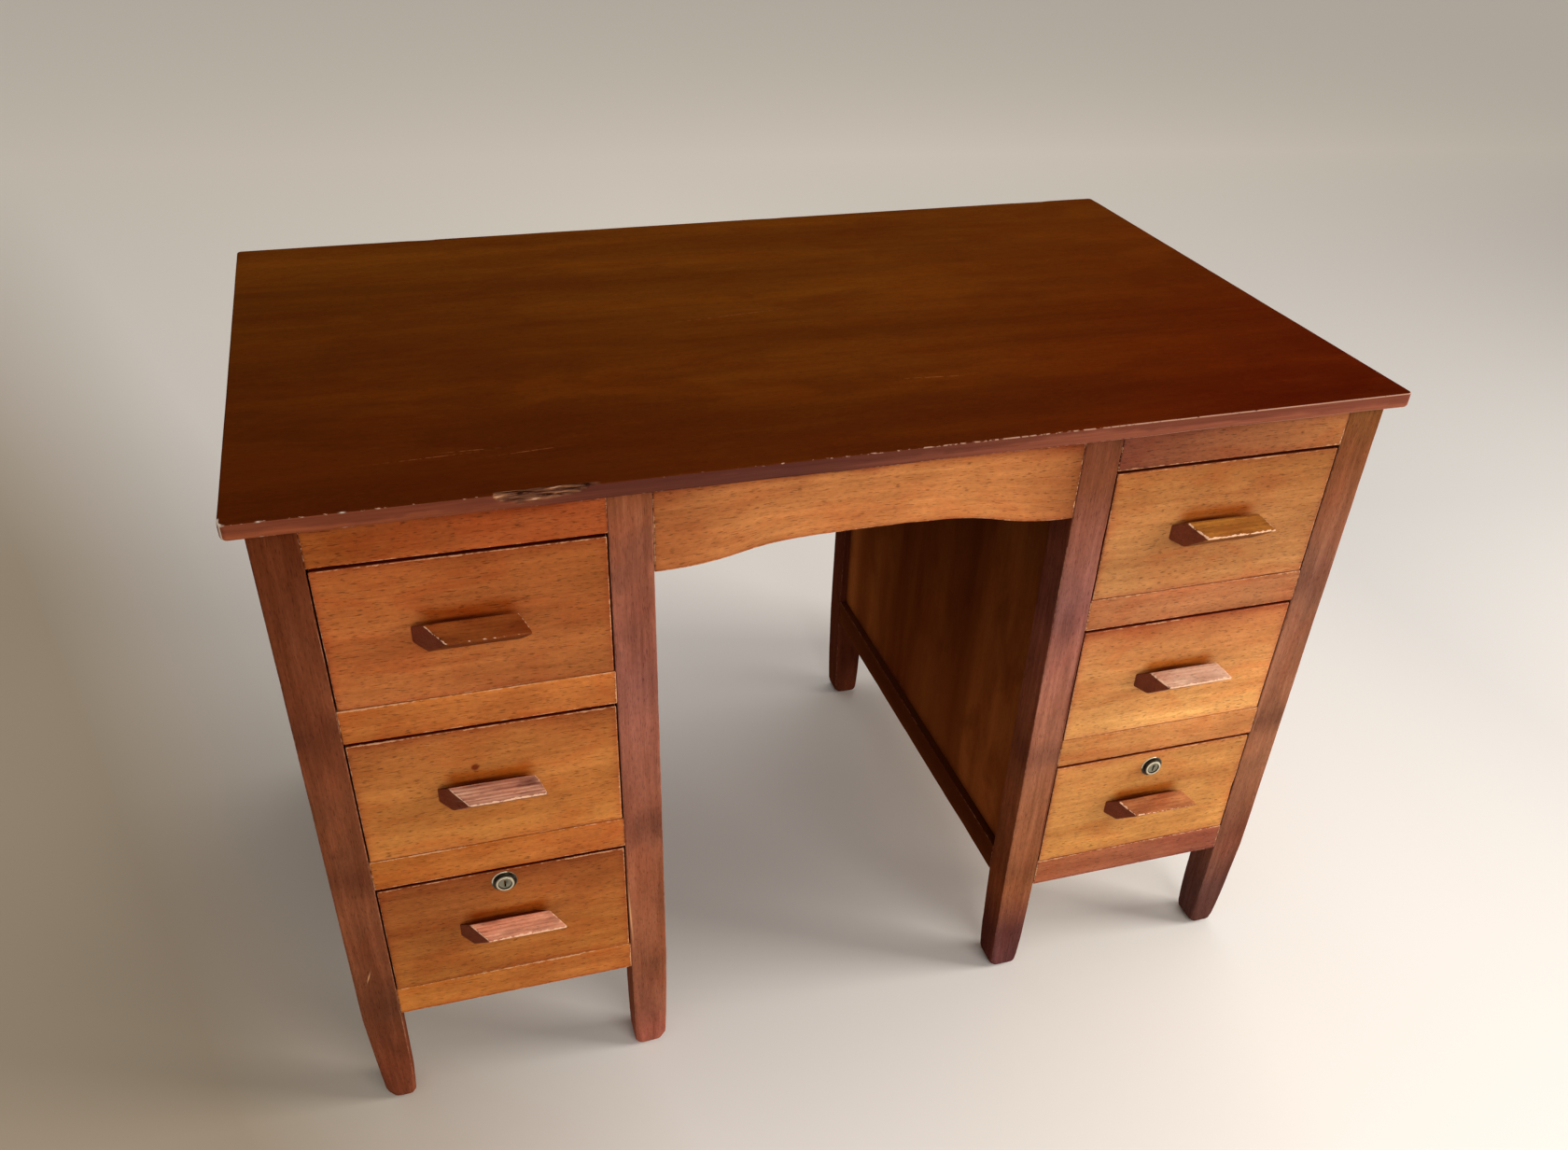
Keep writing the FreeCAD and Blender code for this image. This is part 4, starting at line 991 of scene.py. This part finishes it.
def front_tint(name, low, high, number):
    """A front's colour: from its lower to its upper edge, across it, and painted shade in the gaps round it.
    """
    lower, upper, across = FRONT_TINTS[name]

    def colours(points):
        part = (points - low) / (high - low)
        tall = np.clip(part[:, 2] + 0.12 * ripple(points, 0.06, number), 0, 1)[:, None]
        base = np.array(lower) * (1 - tall) + np.array(upper) * tall
        cloud = 1 + 0.08 * ripple(points, 0.035, number + 1)
        base = base * (1 + across * (2 * part[:, :1] - 1)) * cloud[:, None]
        rim = np.min(np.minimum(part, 1 - part)[:, [0, 2]] * (high - low)[[0, 2]], axis=1)
        reddish = np.exp(-(rim / (5 * MM)) ** 2)[:, None]
        base = base * (1 - reddish * np.array((0.12, 0.26, 0.2)))
        # Painted shade: the faces inside the gaps round the front are darkened, most just behind its face.
        deep = points[:, 1] - FRONT
        painted_shade_in_gaps = (rim < 0.01 * MM) * np.clip((deep - 0.6 * MM) / (1.5 * MM), 0, 1)
        painted_shade_in_gaps = painted_shade_in_gaps * (1 - 0.65 * np.clip((deep - 5 * MM) / (6 * MM), 0, 1))
        return base * (1 - painted_shade_in_gaps[:, None] * (0.78, 0.955, 0.955))
    return colours


print("drawer fronts with their own colours:", len(FRONT_TINTS))


# %% Drawer fronts
def rebated(low, high):
    """Cuts the rebates: behind the face, below the top of the sides, the ends are pulled in."""
    def cut(points):
        behind = points[:, 1] > low[1] + REBATE + 0.001 * MM
        under = points[:, 2] < low[2] + SIDES_TALL
        limit = np.where(behind & under, SIDE_THICK, 0)
        points[:, 0] = np.clip(points[:, 0], low[0] + limit, high[0] - limit)
        return points
    return cut


for side, sign in SIDES.items():
    for rank, level in FLOORS.items():
        name = f"{side}_drawer_{rank}"
        low = np.array((sign * MIDDLE - FRONT_WIDE / 2, FRONT, level + FRONT_FOOT))
        high = np.array((sign * MIDDLE + FRONT_WIDE / 2, FRONT + FRONT_THICK, level + FRONT_HEAD))
        handle_middle = np.array((sign * MIDDLE + HANDLE_ASIDE, 0, level + HANDLE_UP))

        def spot(points, handle_middle=handle_middle):
            away = points - handle_middle
            away[:, 1] = points[:, 1] < FRONT + 2 * MM
            return away

        step = np.array((0, 0.01 * MM))
        ends = (low[0] + SIDE_THICK, high[0] - SIDE_THICK)
        extra = (ends, FRONT + REBATE + step, low[2] + SIDES_TALL + step)
        tint = front_tint(name, low, high, seed)
        worn_board(f"{name}_front_worn", low, high, 0, FRONT_ROUND, tint, seed, front_wood,
                   [f"{name}_front"], 0.007, name, rebated(low, high), spot, extra)
        seed += 1
print("drawer fronts: 6")

# %% [markdown]
# ## Handles
# Each handle is a bar with six flat sides, cut off by two parallel mitres, so it leans to the right as seen
# from above. It is lofted: one rounded ring of points is repeated along the bar, and every ring is sheared by
# its distance from the drawer. The ends get smaller rings that round their arrises.

# %% A bar's section
# The section's corners are distances out from the drawer and up from the bar's middle. Each end step is a
# distance from the end and how far its ring is drawn in. All are in millimetres.
SECTION = [(0, 7), (11, 14), (28, 2.5), (28, 0.5), (12, -14), (0, -9.5)]
HANDLE_LEFT, HANDLE_RIGHT = -56 * MM, 28 * MM
END_STEPS = [(0.0, 3.0), (0.0, 1.1), (0.15, 0.5), (0.5, 0.15), (1.2, 0.0)]
RINGS = 54
BAR_ROUND, BAR_SPACING = 1.6, 1.2


def bar_section():
    """The rounded ring of a bar's section, in millimetres."""
    ring = []
    corners = [Vector(point) for point in SECTION]
    for index, corner in enumerate(corners):
        before, after = corners[index - 1], corners[(index + 1) % len(corners)]
        to_before, to_after = before - corner, after - corner
        gap = min(BAR_ROUND, to_before.length * 0.45, to_after.length * 0.45)
        start, end = corner + to_before.normalized() * gap, corner + to_after.normalized() * gap
        for step in range(5):
            share = step / 4
            ring.append((1 - share) ** 2 * start + 2 * share * (1 - share) * corner + share**2 * end)
        next_gap = min(BAR_ROUND, to_after.length * 0.45)
        last = after + (corner - after).normalized() * next_gap
        pieces = max(1, round((last - end).length / BAR_SPACING))
        ring += [end.lerp(last, part / pieces) for part in range(1, pieces)]
    return ring


print("a bar's ring:", len(bar_section()), "points")


# %% A plain bar
def plain_bar():
    """The points and faces of a bar with two mitred ends, and the middle of its section."""
    section = bar_section()
    centre = sum(section, Vector((0, 0))) / len(section)
    length = (HANDLE_RIGHT - HANDLE_LEFT) / MM
    first = END_STEPS[-1][0]
    stations = END_STEPS + [(place, 0.0) for place in np.linspace(first, length - first, RINGS)[1:-1]]
    stations += [(length - step, inset) for step, inset in reversed(END_STEPS)]
    points = []
    for place, inset in stations:
        for spot in section:
            moved = spot + (centre - spot).normalized() * inset
            points.append((HANDLE_LEFT + (place + moved.x) * MM, -moved.x * MM, moved.y * MM))
    ring, tips = len(section), len(points)
    faces = []
    for row in range(0, tips - ring, ring):
        for index in range(ring):
            after = (index + 1) % ring
            faces.append((row + index, row + after, row + ring + after, row + ring + index))
    for index in range(ring):
        after = (index + 1) % ring
        faces.append((tips, after, index))
        faces.append((tips + 1, tips - ring + index, tips - ring + after))
    axis = (0, -centre.x * MM, centre.y * MM)
    points += [(end + centre.x * MM, *axis[1:]) for end in (HANDLE_LEFT, HANDLE_RIGHT)]
    return np.array(points), faces, axis


BAR_POINTS, BAR_FACES, BAR_AXIS = plain_bar()
print("a plain bar:", len(BAR_POINTS), "points")

# %% Wear and colours of a handle
# The ends are darker end grain with painted shade; the facet sloping back to the drawer gets painted shade
# and dirt.
END_GRAIN_AND_SHADE = (0.355, 0.21, 0.385)
BEHIND_SHADE_AND_DIRT = (0.2, 0.07, 0.06)
NOSE = (28 * MM, 1.6 * MM)


def worn_bar(ridges, lost, seed):
    """The bar with ridges along it and its right tip worn back; the depth of wear; the place along it."""
    points = BAR_POINTS.copy()
    away = points - BAR_AXIS
    away[:, 0] = 0
    size = np.linalg.norm(away, axis=1)
    wear = ridges * MM * ripple(points * (0.12, 1, 1), 0.0032, seed)
    wear += 0.12 * MM * ripple(points, 0.016, seed + 1)
    wear *= (points[:, 1] < -1 * MM) * (size > 4 * MM)
    points += away / np.maximum(size, 1e-9)[:, None] * np.minimum(wear, 0)[:, None]
    run = points[:, 0] + points[:, 1]
    far_out = np.clip((-points[:, 1] - 8 * MM) / (20 * MM), 0, 1)
    near_tip = np.clip(1 - (HANDLE_RIGHT - run) / (16 * MM), 0, 1) * far_out
    points[:, 0] -= lost * MM * near_tip**1.5
    return points, wear, run


def bar_colours(points, wear, run, tint, ridges, seed):
    """Patches, dark grooves and fine lines along the bar; dark below; painted shade and dirt behind; darker
    end grain with painted shade on its ends.
    """
    out, up = -points[:, 1], points[:, 2]
    patches = ripple(points * (0.4, 1, 1), 0.011, seed + 2)[:, None]
    groove = np.clip(-wear / (0.6 * ridges * MM), 0, 1)[:, None] * min(0.75, 1.4 * ridges)
    bent = 2.2 * ripple(points * (0.05, 1, 1), 0.004, seed + 5)
    lines = np.sin((0.82 * out - 0.57 * up) / (0.6 * MM) + bent)[:, None] * min(0.8, 1.4 * ridges)
    colours = np.array(tint) * (1 + patches * (0.22, 0.38, 0.42)) * (1 - groove * (0.85, 1.0, 1.0))
    colours = colours * np.clip(1 + lines * (0.5, 0.65, 0.65), 0.15, None)
    below = np.where((up < -2 * MM)[:, None], (0.5, 0.42, 0.5), (1.0, 1.0, 1.0))
    # Painted shade and dirt on the facet that slopes back up to the drawer.
    behind = (out < 10 * MM) & (up > 6 * MM)
    colours = np.where(behind[:, None], BEHIND_SHADE_AND_DIRT, colours * below)
    on_end = (run < HANDLE_LEFT + 0.2 * MM) | (run > HANDLE_RIGHT - 0.2 * MM)
    return np.where(on_end[:, None], END_GRAIN_AND_SHADE, colours)


def bar_edge(points, run, kept):
    """How far each point is from the worn nose and the worn ends of the top flat."""
    out, up = -points[:, 1], points[:, 2]
    on_top = (up > 1 * MM + (NOSE[0] - out) * 0.66) & (out > 11.5 * MM)
    end_gap = np.where(on_top, np.minimum(run - HANDLE_LEFT, HANDLE_RIGHT - run) * 1.3, 1)
    return np.minimum(np.hypot(out - NOSE[0], up - NOSE[1]) + kept * MM, end_gap)


print("the nose of a bar stands out", round(1000 * NOSE[0]), "mm")

# %% Handles in place
# Each handle: its tint, the depth of its ridges, what its tip has lost, and what varnish its nose has kept.
HANDLES = {
    "left_drawer_1": ((0.49, 0.30, 0.24), 0.10, 8, 1.3), "left_drawer_2": ((1.16, 1.46, 3.95), 0.5, 9, 0.2),
    "left_drawer_3": ((1.55, 1.79, 4.5), 0.22, 2, 0), "right_drawer_1": ((0.77, 0.71, 0.42), 0.14, 4, 0),
    "right_drawer_2": ((1.39, 2.14, 6.1), 0.12, 5, 0), "right_drawer_3": ((1.05, 0.99, 1.47), 0.18, 2, 0),
}
for side, sign in SIDES.items():
    for rank, level in FLOORS.items():
        name = f"{side}_drawer_{rank}"
        tint, ridges, lost, kept = HANDLES[name]
        points, wear, run = worn_bar(ridges, lost, seed)
        placed = points + (sign * MIDDLE + HANDLE_ASIDE, FRONT, level + HANDLE_UP)
        placed[:, 1] = np.minimum(placed[:, 1], FRONT)
        colours = bar_colours(points, wear, run, tint, ridges, seed)
        fields = board_fields(placed, 0, bar_edge(points, run, kept), colours, seed)
        finish_piece(f"{name}_handle_worn", placed, BAR_FACES, fields, handle_wood, name,
                     [f"{name}_handle"])
        seed += 1
print("handles: 6")

# %% [markdown]
# ## Panels, runners and drawer boxes
# These CAD pieces are plain boards that stay as the CAD made them. Only their material changes: dark wood
# with upright grain on the panels, bare dusty wood inside.

# %% Materials for kept CAD pieces
KEPT = {"panel": upright_panel, "runners": inside_wood, "box": inside_wood, "bottom": inside_wood}
dressed = 0
for node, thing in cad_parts.items():
    material = KEPT.get(node.rsplit("_", 1)[-1])
    if material:
        for slot in thing.material_slots:
            slot.material = material
        dressed += 1
print("kept CAD pieces with new wood:", dressed)

# %% [markdown]
# ## Locks and screws
# The locks are nickel that has dulled to grey-green in its hollows and stayed bright on its rims, so their
# colour follows rings round the middle of each lock. Two near-black rings are painted shade in the grooves,
# the keyway is painted dark as shade, and a pale arc at the upper left is a painted highlight. The screws
# are plain steel that has dulled unevenly.


# %% Metal materials
def metal(name, bright, dull, rough, coarse):
    """A tarnished metal: bright places, dull places and fine scratches."""
    material, root = new_material(name)
    place = root.place()
    clouds = place.scaled(coarse, coarse, coarse).noise(4, 0.6)
    fine = place.scaled(coarse * 6, coarse * 1.5, coarse * 6).noise(2, 0.6)
    tarnish = clouds.above(0.42, 5) * 0.8
    bump = root.node("ShaderNodeBump", None, {"Strength": 0.25, "Distance": 0.0003, "Height": fine})
    surface(root, {
        "Base Color": tarnish.mix(bright, dull), "Metallic": 1.0 - tarnish * 0.35,
        "Roughness": rough + tarnish * 0.25 + fine * 0.1, "Normal": bump,
    })
    return material


screw_metal = metal("dull_steel", (0.42, 0.41, 0.40), (0.16, 0.13, 0.11), 0.35, 300)
print("screw metal ready")

# %% Lock metal
# The rings are shares of the trim's radius; the left lock sits higher than the right one by two steps.
LOCK_REACH = 0.014
# Two rings are near black: painted shade in the grooves round the plug and round the barrel.
LOCK_RINGS = [
    (0.0, (0.16, 0.15, 0.10)), (0.46, (0.22, 0.21, 0.15)), (0.48, (0.012, 0.010, 0.006)),
    (0.52, (0.015, 0.012, 0.008)), (0.54, (0.72, 0.66, 0.50)), (0.66, (0.60, 0.54, 0.38)),
    (0.70, (0.10, 0.08, 0.05)), (0.74, (0.018, 0.012, 0.007)), (0.88, (0.030, 0.022, 0.012)),
    (0.91, (0.12, 0.09, 0.055)), (0.97, (0.10, 0.075, 0.045)),
]
LOCK_MIDDLE, LOCK_UP, LOCK_STEP = 0.383, 0.313, 0.003
PLUG_BACK = 0.3277


def lock_finish():
    """Rings of bright and tarnished nickel round the middle of whichever lock the place belongs to, with
    painted shade in the grooves and the keyway, and a painted highlight.
    """
    material, root = new_material("tarnished_nickel")
    place = root.place()
    across, deep, up = place.axes()
    side = across.through("SIGN")
    away = across - side * LOCK_MIDDLE
    above = up - LOCK_UP + side * LOCK_STEP
    reach = (away * away + above * above).through("SQRT")
    colour = (reach / LOCK_REACH).ramp(LOCK_RINGS)
    turned = (reach * 5200).through("SINE") * 0.5 + 0.5
    line = turned * (0.0066 - reach).above(0, 3000) * 0.5
    colour = line.mix(colour, (0.42, 0.40, 0.30))
    # Painted highlight: a pale arc on the upper left of the trim.
    painted_highlight_arc = (above - away * 0.8).above(0.0085, 400)
    painted_highlight_arc = painted_highlight_arc * (reach - 0.0121).above(0, 3000) * (0.0138 - reach).above(0, 3000)
    colour = painted_highlight_arc.mix(colour, (0.78, 0.72, 0.56))
    tarnish = place.scaled(260, 260, 260).noise(4, 0.6).above(0.45, 5)
    colour = (tarnish * 0.45).mix(colour, (0.08, 0.075, 0.05))
    patch = (away * 700 - above * 300).bell(0.2, 1.3) * (away * 300 + above * 700).bell(1.6, 2.2)
    patch = patch * (0.0062 - reach).above(0, 3000)
    colour = (patch * 0.75).mix(colour, (0.02, 0.017, 0.010))
    # Painted shade: inside the keyway, deeper than the plug's face, the metal is near black.
    painted_keyway_shade = (deep + PLUG_BACK).above(0, 4000) * (0.0069 - reach).above(0, 6000)
    colour = painted_keyway_shade.mix(colour, (0.010, 0.008, 0.006))
    surface(root, {"Base Color": colour, "Metallic": 0.9 - tarnish * 0.3, "Roughness": 0.34 + tarnish * 0.2})
    return material


lock_metal = lock_finish()
for node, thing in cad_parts.items():
    if "_lock_" in node or node == "top_screws":
        for slot in thing.material_slots:
            slot.material = lock_metal if "_lock_" in node else screw_metal
print("metal finishes: 2")

# %% [markdown]
# ## Screws and nails in the drawers
# Inside each front two screws hold the handle, and three nails on each side hold the front to the drawer's
# sides. They repeat one shape at many places, so a node tree puts a head at every point of a small mesh,
# turned to the way that the point faces. A screw's slot stops at its own angle, drawn from a fixed seed.

# %% Heads by geometry nodes
HEAD_INPUTS = {
    "Screw Radius": 3.8 * MM, "Screw Rise": 1.4 * MM, "Slot Width": 0.9 * MM,
    "Nail Radius": 1.5 * MM, "Nail Rise": 0.25 * MM, "Seed": 7,
}


def head_tree():
    """A node tree that turns points with a facing into screw heads and nail heads."""
    tree = bpy.data.node_groups.new("drawer_heads", "GeometryNodeTree")
    tree.interface.new_socket("Geometry", in_out="INPUT", socket_type="NodeSocketGeometry")
    tree.interface.new_socket("Geometry", in_out="OUTPUT", socket_type="NodeSocketGeometry")
    for name in HEAD_INPUTS:
        kind = "NodeSocketInt" if name == "Seed" else "NodeSocketFloat"
        tree.interface.new_socket(name, in_out="INPUT", socket_type=kind)
    root = Wire(tree)
    source = tree.nodes.new("NodeGroupInput")
    given = {socket.name: Wire(tree, socket) for socket in source.outputs if socket.name}
    radius, rise, slot = given["Screw Radius"], given["Screw Rise"], given["Slot Width"]
    dome = root.node("GeometryNodeMeshCone", {"fill_type": "NGON"}, {
        "Vertices": 20, "Radius Top": radius * 0.68, "Radius Bottom": radius, "Depth": rise})
    slot_size = root.node("ShaderNodeCombineXYZ", None, {0: radius * 2.4, 1: slot, 2: rise})
    slot_bar = root.node("GeometryNodeMeshCube", None, {"Size": slot_size})
    lifted = root.node("ShaderNodeCombineXYZ", None, {2: rise * 1.05})
    slot_bar = root.node("GeometryNodeTransform", None, {"Geometry": slot_bar, "Translation": lifted})
    cut = {"Mesh 1": dome, "Mesh 2": slot_bar}
    screw = root.node("GeometryNodeMeshBoolean", {"operation": "DIFFERENCE"}, cut)
    nail = root.node("GeometryNodeMeshCone", {"fill_type": "NGON"}, {
        "Vertices": 12, "Radius Top": given["Nail Radius"] * 0.8, "Radius Bottom": given["Nail Radius"],
        "Depth": given["Nail Rise"]})
    facing = root.node("GeometryNodeInputNamedAttribute", {"data_type": "FLOAT_VECTOR"}, {"Name": "facing"})
    is_nail = root.node("GeometryNodeInputNamedAttribute", {"data_type": "BOOLEAN"}, {"Name": "nail"})
    aligned = root.node("FunctionNodeAlignRotationToVector", {"axis": "Z"}, {"Vector": facing})
    half_turn = {2: 0.0, 3: math.pi, "Seed": given["Seed"]}
    angle = root.node("FunctionNodeRandomValue", {"data_type": "FLOAT"}, half_turn, 1)
    spin = root.node("FunctionNodeAxisAngleToRotation", None, {"Axis": (0, 0, 1), "Angle": angle})
    turned = root.node("FunctionNodeRotateRotation", {"rotation_space": "LOCAL"}, {0: aligned, 1: spin})
    is_screw = root.node("FunctionNodeBooleanMath", {"operation": "NOT"}, {0: is_nail})
    placed = [
        root.node("GeometryNodeInstanceOnPoints", None, {
            "Points": given["Geometry"], "Selection": chosen, "Instance": head, "Rotation": turned})
        for chosen, head in ((is_screw, screw), (is_nail, nail))]
    joined = tree.nodes.new("GeometryNodeJoinGeometry")
    for part in placed:
        tree.links.new(part.socket, joined.inputs[0])
    real = root.node("GeometryNodeRealizeInstances", None, {"Geometry": Wire(tree, joined.outputs[0])})
    dressed = root.node("GeometryNodeSetMaterial", None, {"Geometry": real, "Material": screw_metal})
    root.node("NodeGroupOutput", None, {0: dressed})
    return tree


heads = head_tree()
print("node tree for heads:", len(heads.nodes), "nodes")

# %% Heads in place
SCREWS_ACROSS = (-35.5 * MM, 8.5 * MM)
NAILS_UP = (35 * MM, 68 * MM, 101 * MM)
NAIL_BEHIND = 14 * MM
for side, sign in SIDES.items():
    for rank, level in FLOORS.items():
        name = f"{side}_drawer_{rank}"
        middle = sign * MIDDLE
        spots, facings = [], []
        for across in SCREWS_ACROSS:
            spots.append((middle + across, FRONT + FRONT_THICK, level + HANDLE_UP))
            facings.append((0, 1, 0))
        for outward in (-1, 1):
            for up in NAILS_UP:
                across = middle + outward * (FRONT_WIDE / 2 - SIDE_THICK)
                spots.append((across, FRONT + NAIL_BEHIND, level + up))
                facings.append((outward, 0, 0))
        place_mesh = bpy.data.meshes.new(f"{name}_head_places")
        place_mesh.from_pydata(spots, [], [])
        facing = place_mesh.attributes.new("facing", "FLOAT_VECTOR", "POINT")
        facing.data.foreach_set("vector", np.ravel(facings))
        nail = place_mesh.attributes.new("nail", "BOOLEAN", "POINT")
        nail.data.foreach_set("value", [bool(sideways) for sideways, _, _ in facings])
        places = bpy.data.objects.new(f"{name}_head_places", place_mesh)
        bpy.context.scene.collection.objects.link(places)
        modifier = places.modifiers.new("heads", "NODES")
        modifier.node_group = heads
        for item in heads.interface.items_tree:
            if item.in_out == "INPUT" and item.name in HEAD_INPUTS:
                modifier[item.identifier] = HEAD_INPUTS[item.name]
        evaluated = places.evaluated_get(bpy.context.evaluated_depsgraph_get())
        plain = bpy.data.meshes.new_from_object(evaluated)
        bpy.data.objects.remove(places)
        piece = bpy.data.objects.new(f"{name}_heads", plain)
        bpy.context.scene.collection.objects.link(piece)
        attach(piece, name)
print("heads:", len(plain.polygons), "faces in each drawer")

# %% [markdown]
# ## The last update
# The view layer is brought up to date at the end.

# %% Finish
bpy.context.view_layer.update()
